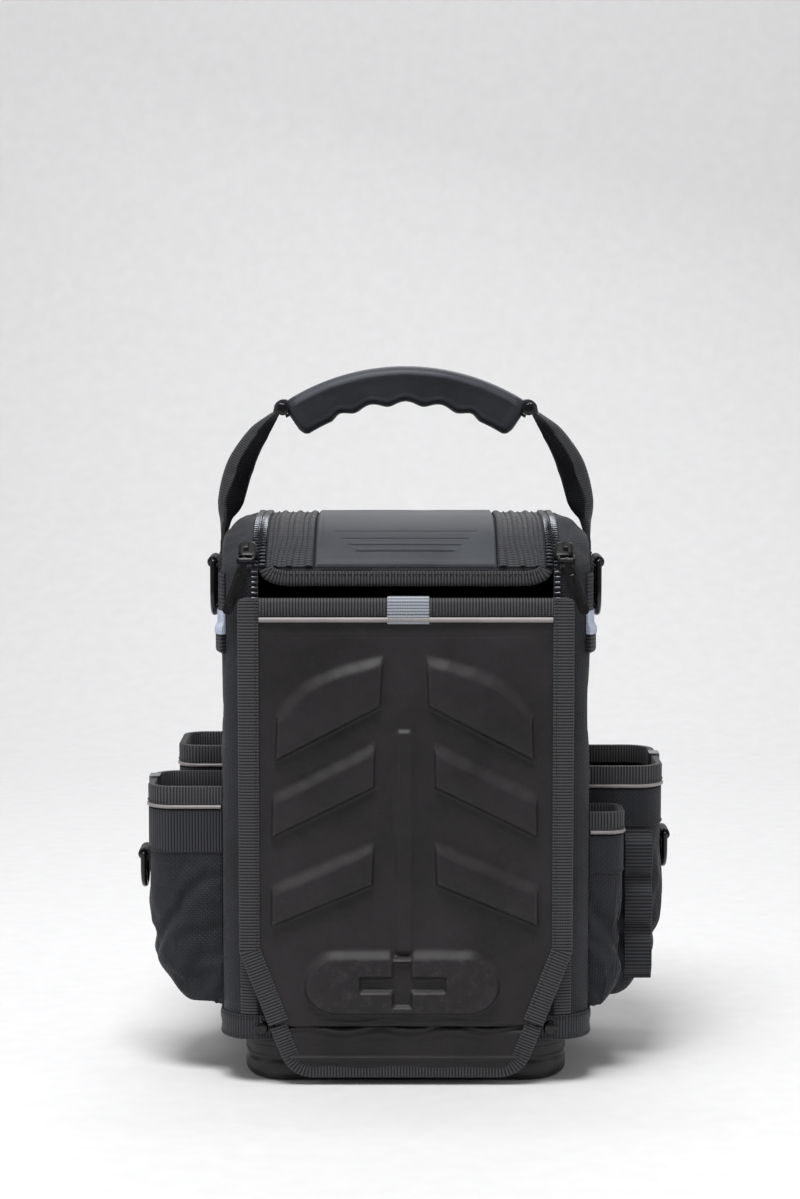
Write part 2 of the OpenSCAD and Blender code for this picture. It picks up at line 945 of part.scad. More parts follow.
module zip_sliders() {
    x0 = seam_x + gap;
    x1 = pull_x + 5.8;
    color([0.05, 0.05, 0.06])
        both_sides() {
            along_x(x0, x1)
                polygon([on_slider(-slider_len / 2, 0), on_slider(slider_len / 2, 0),
                    on_slider(slider_len / 2, slider_tall - 1), on_slider(slider_len / 2 - 1, slider_tall),
                    on_slider(-slider_len / 2 + 2, slider_tall), on_slider(-slider_len / 2, slider_tall - 2)]);
            along_x(pull_x - 5.8, pull_x - 4)
                slider_ear();
            along_x(pull_x + 4, pull_x + 5.8)
                slider_ear();
            along_x(pull_x - 1.5, pull_x + 1.5)
                polygon([on_slider(-5, slider_tall), on_slider(3, slider_tall),
                    on_slider(3, slider_tall + 1), on_slider(-4, slider_tall + 2.2)]);
        }
}

// Flat pull with a rounded tip, hanging from its pin and leaning outwards
module zip_pull_right() {
    color([0.05, 0.05, 0.06])
        translate([pull_x, pull_y, pull_z]) {
            rotate([0, -pull_lean, 0])
                along_y(-0.9, 0.9)
                    union() {
                        polygon([[-2, 0], [2, 0], [2, -4.6], [pull_half, -6.4], [pull_half, -pull_long],
                            [-pull_half, -pull_long], [-pull_half, -6.4], [-2, -4.6]]);
                        translate([0, -pull_long])
                            circle(pull_half, $fn = 24);
                    }
            translate([-5.8, 0, 0])
                rotate([0, 90, 0])
                    cylinder(h = 11.6, r = pin_r, $fn = 20);
        }
}

module zip_pull_left() {
    mirror([1, 0, 0])
        zip_pull_right();
}

// ---- handle ----

module grip_view() {
    e = grip_length / 2;
    translate([0, grip_zc])
        intersection() {
            difference() {
                circle(grip_r, $fn = 160);
                circle(grip_in, $fn = 160);
            }
            union() {
                translate([-e, rod_z - 5 - grip_zc])
                    square([2 * e, 60]);
                translate([-e + 14, rod_z - 17 - grip_zc])
                    square([2 * e - 28, 60]);
            }
        }
    for (s = [-1, 1])
        translate([s * (e - 14), rod_z - 5])
            circle(12);
    for (a = [-16, -5.4, 5.4, 16])
        translate([(grip_in + 7) * sin(a), grip_zc + (grip_in + 7) * cos(a)])
            circle(10);
}

// Revolved section that rounds the long edges of the grip
module grip_round(half, r) {
    translate([0, 0, grip_zc])
        rotate([90, 0, 0])
            rotate_extrude($fn = 96)
                translate([grip_r - 60, 0])
                    intersection() {
                        translate([0, -half])
                            square([60, 2 * half]);
                        union() {
                            translate([0, -half])
                                square([60 - r, 2 * half]);
                            translate([0, -half + r])
                                square([60, 2 * half - 2 * r]);
                            for (s = [-1, 1])
                                translate([60 - r, s * (half - r)])
                                    circle(r, $fn = 32);
                        }
                    }
}

module rod_space(r) {
    both_sides()
        translate([rod_x, strap_width, rod_z])
            rotate([90, 0, 0])
                cylinder(h = 2 * strap_width, r = r, $fn = 32);
}

module grip_core() {
    color([0.16, 0.16, 0.17])
        difference() {
            intersection() {
                along_y(-grip_depth / 2 + 7, grip_depth / 2 - 7)
                    translate([0, grip_zc])
                        difference() {
                            circle(grip_r - 7, $fn = 96);
                            circle(grip_in + 7, $fn = 96);
                        }
                block(-grip_length / 2 + 8, grip_length / 2 - 8, -hd, hd, rod_z - 4, grip_top);
            }
            rod_space(7);
        }
}

module grip_cover() {
    color([0.11, 0.11, 0.12])
        difference() {
            intersection() {
                along_y(-grip_depth / 2, grip_depth / 2)
                    grip_view();
                grip_round(grip_depth / 2, 9);
            }
            rod_space(4 + strap_thickness);
            intersection() {
                along_y(-grip_depth / 2 + 7, grip_depth / 2 - 7)
                    translate([0, grip_zc])
                        difference() {
                            circle(grip_r - 7, $fn = 96);
                            circle(grip_in + 7, $fn = 96);
                        }
                block(-grip_length / 2 + 8, grip_length / 2 - 8, -hd, hd, rod_z - 4, grip_top);
            }
        }
}

module grip_rods() {
    color([0.05, 0.05, 0.06])
        both_sides()
            translate([rod_x, fold_half + 3, rod_z])
                rotate([90, 0, 0])
                    cylinder(h = 2 * fold_half + 6, r = 4, $fn = 32);
}

// Front view of one handle webbing from the rod down to the side wall
module strap_view() {
    t = strap_thickness;
    z1 = crest_height + 2;
    z2 = crest_height + 36;
    difference() {
        union() {
            translate([rod_x, rod_z])
                circle(4 + t, $fn = 32);
            polygon([[strap_in, pivot_z - 30], [strap_out, pivot_z - 30], [strap_out, z1],
                [strap_out - 11 + 0.4, z2], [rod_x + 3.4, rod_z + 5.4], [rod_x, rod_z + 3],
                [strap_in - 12, z2 - 0.8], [strap_in, z1 - 0.6]]);
        }
        translate([rod_x, rod_z])
            circle(4, $fn = 32);
    }
}

module strap_right() {
    color([0.10, 0.10, 0.11])
        intersection() {
            along_y(-strap_width / 2, strap_width / 2)
                strap_view();
            along_x(0, hw + 60)
                union() {
                    polygon([[-strap_width / 2, pivot_z], [strap_width / 2, pivot_z],
                        [strap_width / 2, pivot_z + 14], [fold_half, crest_height + 8],
                        [fold_half, grip_top], [-fold_half, grip_top], [-fold_half, crest_height + 8],
                        [-strap_width / 2, pivot_z + 14]]);
                    translate([0, pivot_z])
                        circle(strap_width / 2);
                }
        }
}

module strap_left() {
    mirror([1, 0, 0])
        strap_right();
}

// ---- drawing ----

base_tub();
body_shell();
base_band();
band_rivets();
corner_bindings();
mouth_zip();
centre_divider();
inner_pockets_front();
inner_pockets_rear();
rear_welt();
strap_anchors();
ring_tab_left();
ring_tab_right();
side_patches();
pocket_left_front();
pocket_left_rear();
pocket_right_front();
pocket_right_rear();
rim_bindings();
pocket_pipings();
pocket_bands();
tool_loops();
tape_clips();
pocket_ring_loops();
apron();
apron_binding();
front_sheet();
chevron_pads();
lumbar_pad();
panel_binding();
panel_piping();
pull_tab();
lid_shell();
lid_pad();
lid_webbing();
lid_binding();
lid_zip();
strap_left();
strap_right();
grip_core();
grip_cover();
grip_rods();
d_ring_left();
d_ring_right();
pocket_ring_left();
pocket_ring_right();
zip_sliders();
zip_pull_left();
zip_pull_right();
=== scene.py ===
"""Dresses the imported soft-sided tool caddy: fabric, foam, rubber, tapes, zip and metal, then sets the stage."""

import contextlib
import math

import bmesh
import bpy
import numpy as np
from mathutils import Matrix, Vector


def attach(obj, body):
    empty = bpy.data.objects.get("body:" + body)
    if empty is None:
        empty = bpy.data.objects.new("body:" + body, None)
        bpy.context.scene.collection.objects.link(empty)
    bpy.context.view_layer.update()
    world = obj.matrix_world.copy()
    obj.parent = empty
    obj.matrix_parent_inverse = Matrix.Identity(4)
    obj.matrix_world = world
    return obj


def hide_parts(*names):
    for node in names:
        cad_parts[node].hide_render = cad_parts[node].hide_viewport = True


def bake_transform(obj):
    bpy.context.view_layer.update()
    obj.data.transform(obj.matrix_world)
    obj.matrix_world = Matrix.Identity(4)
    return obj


bl_info = {
    "name": "Tool Caddy Dressing",
    "version": (1, 0, 0),
    "blender": (4, 5, 0),
    "location": "View3D > Sidebar > Caddy",
    "description": "Builds the fabric, foam, rubber and metal pieces of a soft-sided tool caddy",
    "category": "Object",
}

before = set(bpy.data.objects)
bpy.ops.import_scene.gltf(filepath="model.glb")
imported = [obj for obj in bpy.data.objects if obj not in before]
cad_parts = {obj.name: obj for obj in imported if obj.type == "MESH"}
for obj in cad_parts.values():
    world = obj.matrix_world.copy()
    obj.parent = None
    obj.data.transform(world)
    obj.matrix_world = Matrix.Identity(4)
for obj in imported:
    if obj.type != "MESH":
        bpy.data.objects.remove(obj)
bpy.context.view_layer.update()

# Sizes of the frame, in millimetres, +Z up, front towards -Y
HALF_W, HALF_D, WALL = 120.0, 95.0, 4.0
TUB_TOP, BAND_TOP = 30.0, 47.0
CREST, SHOULDER_Z, LIP_Z, MOUTH_Z, HINGE_Z = 366.0, 339.0, 327.0, 312.0, 332.0
DOME_Y, DOME_R = 21.0, 114.907
DOME_Z = CREST - DOME_R
DOME_SWING = math.asin((HALF_D - DOME_Y) / DOME_R)
SEAM_X, LID_HALF, PLAN_R = 95.0, 94.6, 22.0
# Centre of the upright corners of the body
CORNER_X, CORNER_Y = HALF_W - PLAN_R, HALF_D - PLAN_R
PANEL_HW, PANEL_TOP, PANEL_FOOT, KNEE_Z, CREASE_Z = 108.0, 320.0, 5.0, 90.0, 40.0
FOOT_X, FOOT_R, TOP_R = 60.25, 22.0, 4.0
FOOT_Z = PANEL_FOOT + FOOT_R
TAPER = math.radians(21)
PANEL_BACK, PANEL_FRONT, BIND_FRONT = 98.2, 103.2, 104.4
# Centre height of the grip's arc, and the place of the rods at its ends
GRIP_Z, ROD_X, ROD_Z = 316.5, 82.0, 438.0
# Pin that the right zip pull hangs on
PULL_PIN = (102.8, -97.9, 344.2)
# Pitch, length and thickness of the stitches on the straps
TACK = (3.0, 2.1, 0.32)
# Outward direction of the front
TO_FRONT = (0, -1, 0)
# Half width of the lid pad, and how far it runs down behind the crest
PAD_HALF, PAD_END = 58.8, 13.0
CLOTH_FRAMES = 20
# Radius of the long rounded edges of the body, y of the ring tabs and height of the rivets
SHOULDER_R, TAB_Y, RIVET_Z = 15.0, -61.5, 38.5
# Spacing of the fine yarns in tapes and webbing
YARN_MM = 1.1
# y centre, length, reach, corner radius, rim, foot and side of each pocket
POCKETS = {
    "pocket_left_front": (-37, 68, 49, 16, 192, 54, -1),
    "pocket_left_rear": (37, 68, 34, 14, 208, 92, -1),
    "pocket_right_front": (-53, 36, 23, 10, 175, 48, 1),
    "pocket_right_rear": (19, 98, 52, 18, 199, 48, 1),
}
# How far the lower corner of each pocket bellies out
SAGS = {"pocket_left_front": 10.0, "pocket_left_rear": 7.0, "pocket_right_front": 3.0, "pocket_right_rear": 10.0}


# ---------------------------------------------------------------- mesh tools


def smoothstep(t):
    """Rises smoothly from 0 to 1 as t does."""
    t = np.clip(t, 0, 1)
    return t * t * (3 - 2 * t)


def unit(vectors):
    """The rows of an array, each brought to length 1."""
    return vectors / np.linalg.norm(vectors, axis=1)[:, None]


def heading(path):
    """Direction of a path at each of its points."""
    return unit(np.gradient(path, axis=0))


def softened(directions, rounds):
    """Directions averaged with their neighbours that many times."""
    soft = np.array(directions, float)
    for _ in range(rounds):
        soft[1:-1] = (soft[:-2] + soft[1:-1] + soft[2:]) / 3
    return unit(soft)


def distance_along(path):
    """Distance from the start of a path to each of its points."""
    return np.concatenate([[0], np.cumsum(np.linalg.norm(np.diff(path, axis=0), axis=1))])


def full_turn(count):
    return np.linspace(0, 2 * math.pi, count, endpoint=False)


def arc(cx, cy, radius, start, stop, count):
    """Points on a circle between two angles in degrees."""
    return [(cx + radius * math.cos(a), cy + radius * math.sin(a)) for a in np.radians(np.linspace(start, stop, count))]


def ripple(u, v, size, seed):
    """Smooth irregular relief of about -1 to 1, with waves near the given size."""
    rng = np.random.default_rng(seed)
    total = np.zeros(np.broadcast(u, v).shape)
    for _ in range(7):
        turn, phase = rng.uniform(0, 2 * math.pi, 2)
        rate = 2 * math.pi * rng.uniform(0.6, 1.5) / size
        total += np.sin((u * math.cos(turn) + v * math.sin(turn)) * rate + phase)
    return total / 3.2


def link_object(name, mesh):
    obj = bpy.data.objects.new(name, mesh)
    bpy.context.scene.collection.objects.link(obj)
    return obj


def link_mesh(name, points, faces, uvs=None):
    """Object of that name from points in millimetres, faces and one UV pair in metres for each corner."""
    mesh = bpy.data.meshes.new(name)
    mesh.from_pydata([tuple(p) for p in np.asarray(points, float) / 1000], [], [tuple(map(int, f)) for f in faces])
    if uvs is not None:
        layer = mesh.uv_layers.new(name="metres")
        layer.data.foreach_set("uv", np.asarray(uvs, np.float32).ravel())
    return link_object(name, mesh)


def read_vertices(mesh, key="co"):
    """Positions or normals of a mesh's vertices, one row each, in metres."""
    values = np.empty(len(mesh.vertices) * 3, np.float32)
    mesh.vertices.foreach_get(key, values)
    return values.reshape(-1, 3)


@contextlib.contextmanager
def editing(obj):
    """Opens the mesh of an object for editing and writes it back."""
    work = bmesh.new()
    work.from_mesh(obj.data)
    yield work
    work.to_mesh(obj.data)
    work.free()


def skin(name, grid, ring=False):
    """Quad skin over rows x columns of points. Its UVs are real distances along the columns and rows."""
    grid = np.asarray(grid, float)
    rows, cols = grid.shape[:2]
    wide = np.concatenate([grid, grid[:, :1]], 1) if ring else grid
    u = np.concatenate([np.zeros((rows, 1)), np.cumsum(np.linalg.norm(np.diff(wide, axis=1), axis=2), 1)], 1)
    u = np.repeat(u.mean(0)[None], rows, 0)
    v = np.concatenate([np.zeros((1, wide.shape[1])), np.cumsum(np.linalg.norm(np.diff(wide, axis=0), axis=2), 0)])
    v = np.repeat(v.mean(1)[:, None], wide.shape[1], 1)
    r, c = np.meshgrid(np.arange(rows - 1), np.arange(wide.shape[1] - 1), indexing="ij")
    r, c = r.ravel(), c.ravel()
    corner = [(r, c), (r, c + 1), (r + 1, c + 1), (r + 1, c)]
    faces = np.stack([a * cols + (b % cols) for a, b in corner], 1)
    uvs = np.stack([np.stack([u[a, b], v[a, b]], 1) for a, b in corner], 1) / 1000
    return link_mesh(name, grid.reshape(-1, 3), faces, uvs)


def close_ends(obj):
    """Fills every open edge loop."""
    with editing(obj) as work:
        bmesh.ops.holes_fill(work, edges=[e for e in work.edges if e.is_boundary], sides=0)
        bmesh.ops.recalc_face_normals(work, faces=work.faces)
    return obj


def face_out(obj):
    """Turns every face outwards."""
    with editing(obj) as work:
        bmesh.ops.recalc_face_normals(work, faces=work.faces)
    return obj


def join(name, parts):
    """One object from several, which are used up."""
    work = bmesh.new()
    for part in parts:
        work.from_mesh(part.data)
        bpy.data.objects.remove(part)
    mesh = bpy.data.meshes.new(name)
    work.to_mesh(mesh)
    work.free()
    return link_object(name, mesh)


def modify(obj, kind, **settings):
    mod = obj.modifiers.new(kind.lower(), kind)
    for key, value in settings.items():
        setattr(mod, key, value)
    return obj


def thicken(obj, depth):
    """Gives a skin that depth in millimetres behind its face."""
    return modify(obj, "SOLIDIFY", thickness=depth / 1000, offset=-1.0, use_even_offset=True)


def round_edges(obj, width, segments=2, angle=35):
    return modify(obj, "BEVEL", width=width / 1000, segments=segments, limit_method="ANGLE",
                  angle_limit=math.radians(angle), harden_normals=False)


def dress(obj, body, material, replaced=(), sharp=40):
    """Gives a piece its material, smooth shading, body and replaced nodes."""
    obj.data.materials.clear()
    for each in material if isinstance(material, (list, tuple)) else (material,):
        obj.data.materials.append(each)
    obj.data.polygons.foreach_set("use_smooth", [True] * len(obj.data.polygons))
    obj.data.set_sharp_from_angle(angle=math.radians(sharp))
    if body:
        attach(obj, body)
    if replaced:
        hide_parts(*((replaced,) if isinstance(replaced, str) else replaced))
    return obj


def resample(path, step):
    """The path with points at about that spacing."""
    path = np.asarray(path, float)
    run = distance_along(path)
    at = np.linspace(0, run[-1], max(int(round(run[-1] / step)), 2) + 1)
    return np.stack([np.interp(at, run, path[:, k]) for k in range(path.shape[1])], 1)


def rounded(path, radius, steps=6):
    """The path with its inner corners rounded."""
    path = [np.asarray(p, float) for p in path]
    out = [path[0]]
    for a, b, c in zip(path, path[1:], path[2:]):
        la, lc = np.linalg.norm(a - b), np.linalg.norm(c - b)
        cut = min(radius, la * 0.48, lc * 0.48)
        p, q = b + (a - b) / la * cut, b + (c - b) / lc * cut
        for t in np.linspace(0, 1, steps + 1):
            out.append((1 - t) ** 2 * p + 2 * t * (1 - t) * b + t * t * q)
    out.append(path[-1])
    return np.array(out)


def sweep(name, path, side, profile, rib=0.0):
    """Profile of (across, out) points carried along a path. side is the across direction, and out is square to it
    and to the path. rib raises every other section, as grosgrain ribs do."""
    path = np.asarray(path, float)
    side = np.broadcast_to(np.asarray(side, float), path.shape)
    out = unit(np.cross(side, heading(path)))
    profile = np.repeat(np.asarray(profile, float)[None], len(path), 0)
    swell = 1 + rib * (np.arange(len(path)) % 2)
    grid = (path[:, None] + side[:, None] * profile[..., :1]
            + out[:, None] * (profile[..., 1:] * swell[:, None, None]))
    return close_ends(skin(name, grid, True))


def tape_profile(width, depth):
    """Section of a woven tape with soft edges, lying on its back."""
    w, e = width / 2, depth * 0.45
    return [(-w, e), (-w + e, depth), (-w / 3, depth * 1.04), (w / 3, depth * 1.04), (w - e, depth), (w, e),
            (w - e, 0), (-w + e, 0)]


def ribbon(name, path, side, width, depth, rib=0.16):
    """Woven tape with ribs across it, lying along a path."""
    return sweep(name, resample(path, 1.0), side, tape_profile(width, depth), rib)


def tube(name, path, radius, around=8, step=2.0, ribs=0.0):
    """Round cord or wire along a path."""
    path = resample(path, step)
    ahead = heading(path)
    up = unit(np.cross(ahead, [0.31, 0.17, 0.94]))
    turn = full_turn(around)
    size = radius * (1 - ribs * (np.arange(len(path)) % 2))[:, None, None]
    grid = path[:, None] + size * (up[:, None] * np.cos(turn)[None, :, None]
                                   + np.cross(ahead, up)[:, None] * np.sin(turn)[None, :, None])
    return close_ends(skin(name, grid, True))


def stitches(name, path, out, pitch=3.4, length=2.3, thick=0.35, zigzag=0.0):
    """Row of sewn stitches, each a short thread that dips into the cloth at both ends."""
    path = resample(path, pitch)
    ahead = heading(path)
    out = np.broadcast_to(np.asarray(out, float), path.shape)
    side = np.cross(ahead, out)
    points, faces = [], []
    sides = 5
    for i, (p, a, o, s) in enumerate(zip(path, ahead, out, side)):
        lean = a + s * zigzag * (1 if i % 2 else -1)
        first = len(points)
        for t, size, lift in ((-0.5, 0.45, -0.5), (-0.22, 1, 0.55), (0.22, 1, 0.55), (0.5, 0.45, -0.5)):
            mid = p + lean * length * t + o * thick * lift
            points += [mid + thick * size * (s * math.cos(k) + o * math.sin(k)) for k in full_turn(sides)]
        faces += rings_of_faces(first, sides, 4)
    return link_mesh(name, points, faces)


def rings_of_faces(first, around, rings):
    """Faces of a closed tube from rings of points, the first of which is number first."""
    faces = []
    for ring in range(rings - 1):
        a = first + ring * around
        faces += [(a + k, a + (k + 1) % around, a + around + (k + 1) % around, a + around + k) for k in range(around)]
    last = first + (rings - 1) * around
    return faces + [tuple(first + k for k in range(around - 1, -1, -1)), tuple(last + k for k in range(around))]


def lathe(name, profile, centre, axis, around=24):
    """Turned piece from (radius, height) points about an axis."""
    turn = Vector(axis).to_track_quat("Z", "Y").to_matrix()
    grid = [[np.array(turn @ Vector((r * math.cos(a), r * math.sin(a), h))) + centre for a in full_turn(around)]
            for r, h in profile]
    return close_ends(skin(name, grid, True))


def plate(name, outline, depth, place, bevel):
    """Flat plate of that outline in its own x and y, raised by depth, then placed by a matrix in millimetres."""
    low, high = ([place @ Vector((x, y, z)) for x, y in outline] for z in (0, depth))
    return round_edges(prism(name, low, high), bevel, 3)


def rounded_box_outline(x0, x1, y0, y1, radius):
    """Corners of a rectangle rounded off, counter-clockwise from the upper right."""
    out = []
    for cx, cy, start in ((x1 - radius, y1 - radius, 0), (x0 + radius, y1 - radius, 90),
                          (x0 + radius, y0 + radius, 180), (x1 - radius, y0 + radius, 270)):
        out += arc(cx, cy, radius, start, start + 90, 7)
    return out


def plan_ring(half_w, half_d, radius, corner=7, along_w=44, along_d=34):
    """Rounded rectangle in plan with the same number of points at every size, from the front left."""
    pts = []
    quarter = [math.radians(a) for a in np.linspace(0, 90, corner + 1)]
    x, y = half_w - radius, half_d - radius
    previous = (-x, -half_d)
    for sx, sy, cx, cy, turn, count in ((x, -half_d, x, -y, -90, along_w), (half_w, y, x, y, 0, along_d),
                                        (-x, half_d, -x, y, 90, along_w), (-half_w, -y, -x, -y, 180, along_d)):
        for t in np.linspace(0, 1, count + 1)[1:-1]:
            pts.append((previous[0] + (sx - previous[0]) * t, previous[1] + (sy - previous[1]) * t))
        for a in quarter:
            pts.append((cx + radius * math.cos(a + math.radians(turn)), cy + radius * math.sin(a + math.radians(turn))))
        previous = pts[-1]
    return np.array(pts)


def loft(name, levels, **counts):
    """Skin through plan sections, each (z, half width, half depth, corner radius)."""
    rings = [(z, plan_ring(w, d, r, **counts)) for z, w, d, r in levels]
    return skin(name, [np.column_stack([ring, np.full(len(ring), z)]) for z, ring in rings], True)


def settle_cloth(obj, pinned, pressure, growth, lowest, highest):
    """Lets a skin billow and wrinkle as sewn cloth that is a little larger than its frame, then keeps the shape.
    pinned holds 0 to 1 for each vertex; the move along the normal is kept between lowest and highest, in mm."""
    group = obj.vertex_groups.new(name="sewn")
    for value in np.unique(pinned):
        group.add([int(i) for i in np.flatnonzero(pinned == value)], float(value), "REPLACE")
    rest, normal = read_vertices(obj.data), read_vertices(obj.data, "normal")
    cloth = obj.modifiers.new("cloth", "CLOTH")
    for key, value in {"quality": 6, "mass": 0.12, "tension_stiffness": 30, "compression_stiffness": 30,
                       "shear_stiffness": 12, "bending_stiffness": 0.08, "use_pressure": pressure > 0,
                       "uniform_pressure_force": pressure, "shrink_min": -growth, "vertex_group_mass": "sewn",
                       "pin_stiffness": 1}.items():
        setattr(cloth.settings, key, value)
    cloth.settings.effector_weights.gravity = 0
    cloth.point_cache.frame_start = 1
    cloth.point_cache.frame_end = CLOTH_FRAMES
    scene = bpy.context.scene
    for number in range(1, CLOTH_FRAMES + 1):
        scene.frame_set(number)
    moved = read_vertices(obj.evaluated_get(bpy.context.evaluated_depsgraph_get()).to_mesh())
    obj.modifiers.remove(cloth)
    scene.frame_set(1)
    step = moved - rest
    along = (step * normal).sum(1)
    aside = step - along[:, None] * normal
    aside *= np.minimum(1, 0.002 / np.maximum(np.linalg.norm(aside, axis=1), 1e-9))[:, None]
    low, high = np.asarray(lowest) / 1000, np.asarray(highest) / 1000
    middle, half = (low + high) / 2, np.maximum((high - low) / 2, 1e-6)
    along = middle + half * np.tanh((along - middle) / half)
    free = np.asarray(1 - pinned)[:, None]
    obj.data.vertices.foreach_set("co", (rest + free * (aside + along[:, None] * normal)).astype(np.float32).ravel())
    obj.data.update()
    return obj


def dome_profile(start_z, step, end="rear", end_z=HINGE_Z):
    """Side view of the lid from the front lip over the crest: rows of y, z and the outward normal."""
    rows = [(-HALF_D, z, -1, 0) for z in np.arange(start_z, SHOULDER_Z, step)]
    count = int(round(DOME_SWING * DOME_R / step))
    for a in np.linspace(DOME_SWING, 0, count + 1):
        rows.append((-DOME_Y - DOME_R * math.sin(a), DOME_Z + DOME_R * math.cos(a), -math.sin(a), math.cos(a)))
    rows += [(y, CREST, 0, 1) for y in np.arange(-DOME_Y + step, DOME_Y, step)]
    fall = DOME_SWING
    if end == "crest":
        fall = PAD_END / DOME_R
        count = max(int(round(PAD_END / step)), 2)
    for a in np.linspace(0, fall, count + 1):
        rows.append((DOME_Y + DOME_R * math.sin(a), DOME_Z + DOME_R * math.cos(a), math.sin(a), math.cos(a)))
    if end == "rear":
        rows += [(HALF_D, z, 1, 0) for z in np.arange(SHOULDER_Z - step, end_z, -step)] + [(HALF_D, end_z, 1, 0)]
    return np.array(rows)


def profile_run(rows):
    """Distance along a side profile to each of its rows."""
    return np.concatenate([[0], np.cumsum(np.hypot(*np.diff(rows[:, :2], axis=0).T))])


# ---------------------------------------------------------------- materials


def linear(code):
    """sRGB hex such as "2b2a2c" as linear red, green, blue and alpha."""
    parts = [int(code[i:i + 2], 16) / 255 for i in (0, 2, 4)]
    return tuple(c / 12.92 if c <= 0.04045 else ((c + 0.055) / 1.055) ** 2.4 for c in parts) + (1.0,)


def add(tree, kind, links=None, **settings):
    """Adds a node. links maps an input to a value or to another node's output."""
    node = tree.nodes.new(kind)
    for key, value in settings.items():
        setattr(node, key, value)
    for key, value in (links or {}).items():
        if isinstance(value, bpy.types.NodeSocket):
            tree.links.new(value, node.inputs[key])
        else:
            node.inputs[key].default_value = value
    return node


def begin(name, inputs):
    """An empty material: its tree and its principled shader, with those inputs set."""
    mat = bpy.data.materials.new(name)
    mat.use_nodes = True
    mat.node_tree.nodes.clear()
    shader = add(mat.node_tree, "ShaderNodeBsdfPrincipled", inputs)
    add(mat.node_tree, "ShaderNodeOutputMaterial", {"Surface": shader.outputs[0]})
    return mat, mat.node_tree, shader


def object_place(tree):
    return add(tree, "ShaderNodeTexCoord").outputs["Object"]


def noise(tree, where, scale, detail, rough=0.5):
    inputs = {"Vector": where, "Scale": scale, "Detail": detail, "Roughness": rough}
    return add(tree, "ShaderNodeTexNoise", inputs).outputs["Fac"]


def threads(tree, where, pitch_mm, way, distortion=0.0):
    """Even threads side by side, one for each pitch."""
    inputs = {"Vector": where, "Scale": 1000 / pitch_mm * math.pi / 10, "Distortion": distortion}
    return add(tree, "ShaderNodeTexWave", inputs, bands_direction=way, wave_profile="SIN").outputs["Fac"]


def remap(tree, value, low, high, to_low, to_high):
    """The value carried from one range to another."""
    return add(tree, "ShaderNodeMapRange", {0: value, 1: low, 2: high, 3: to_low, 4: to_high}).outputs[0]


def compute(tree, operation, *values):
    return add(tree, "ShaderNodeMath", dict(enumerate(values)), operation=operation).outputs[0]


def mix_colours(tree, factor, first, second):
    return add(tree, "ShaderNodeMix", {0: factor, 6: first, 7: second}, data_type="RGBA").outputs[2]


def shades(tree, factor, *stops):
    """Colour ramp of (position, hex) stops over a factor."""
    ramp = add(tree, "ShaderNodeValToRGB", {"Fac": factor})
    while len(ramp.color_ramp.elements) < len(stops):
        ramp.color_ramp.elements.new(0.5)
    for element, (position, code) in zip(ramp.color_ramp.elements, stops):
        element.position, element.color = position, linear(code)
    return ramp.outputs["Color"]


def relief(tree, shader, height, depth_mm, strength):
    """Small raised detail of that depth."""
    bump = add(tree, "ShaderNodeBump", {"Height": height, "Strength": strength, "Distance": depth_mm / 1000})
    tree.links.new(bump.outputs[0], shader.inputs["Normal"])


def basket(tree, where, pitch_mm):
    """Height of a basket weave: warp and weft threads take turns on top."""
    over = add(tree, "ShaderNodeTexChecker", {"Vector": where, "Scale": 1000 / pitch_mm, "Color1": (1,) * 4,
                                              "Color2": (0, 0, 0, 1)}).outputs["Color"]
    warp, weft = (threads(tree, where, pitch_mm, way, 0.4) for way in "XY")
    return add(tree, "ShaderNodeMix", {0: over, 2: warp, 3: weft}, data_type="FLOAT").outputs[0]


def nylon_woven(name, dark, light, pitch_mm=1.5, sheen=0.08, rough=0.66):
    """Ballistic nylon, basket woven and calendered: small raised threads with a dull sheen, dustier in patches."""
    mat, tree, shader = begin(name, {"Roughness": rough, "Sheen Weight": sheen, "Sheen Roughness": 0.4,
                                     "Specular IOR Level": 0.28})
    cloth = basket(tree, add(tree, "ShaderNodeUVMap", uv_map="metres").outputs[0], pitch_mm)
    tone = compute(tree, "MULTIPLY_ADD", cloth, 0.55, noise(tree, object_place(tree), 28.0, 5.0, 0.6))
    tree.links.new(shades(tree, tone, (0.35, dark), (1.15, light)), shader.inputs["Base Color"])
    relief(tree, shader, cloth, 0.35, 0.8)
    return mat


def tape_woven(name, dark, light, pitch_mm=2.0, along=True, sheen=0.06):
    """Grosgrain or webbing, shuttle woven from filament yarn: firm ribs across the tape and fine yarns along it."""
    mat, tree, shader = begin(name, {"Roughness": 0.6, "Sheen Weight": sheen, "Specular IOR Level": 0.25})
    where = add(tree, "ShaderNodeUVMap", uv_map="metres").outputs[0]
    ribs = threads(tree, where, pitch_mm, "Y" if along else "X")
    yarn = threads(tree, where, YARN_MM, "X" if along else "Y", 1.0)
    height = compute(tree, "MULTIPLY_ADD", yarn, 0.35, ribs)
    tree.links.new(shades(tree, height, (0.2, dark), (1.2, light)), shader.inputs["Base Color"])
    relief(tree, shader, height, 0.3, 0.7)
    return mat


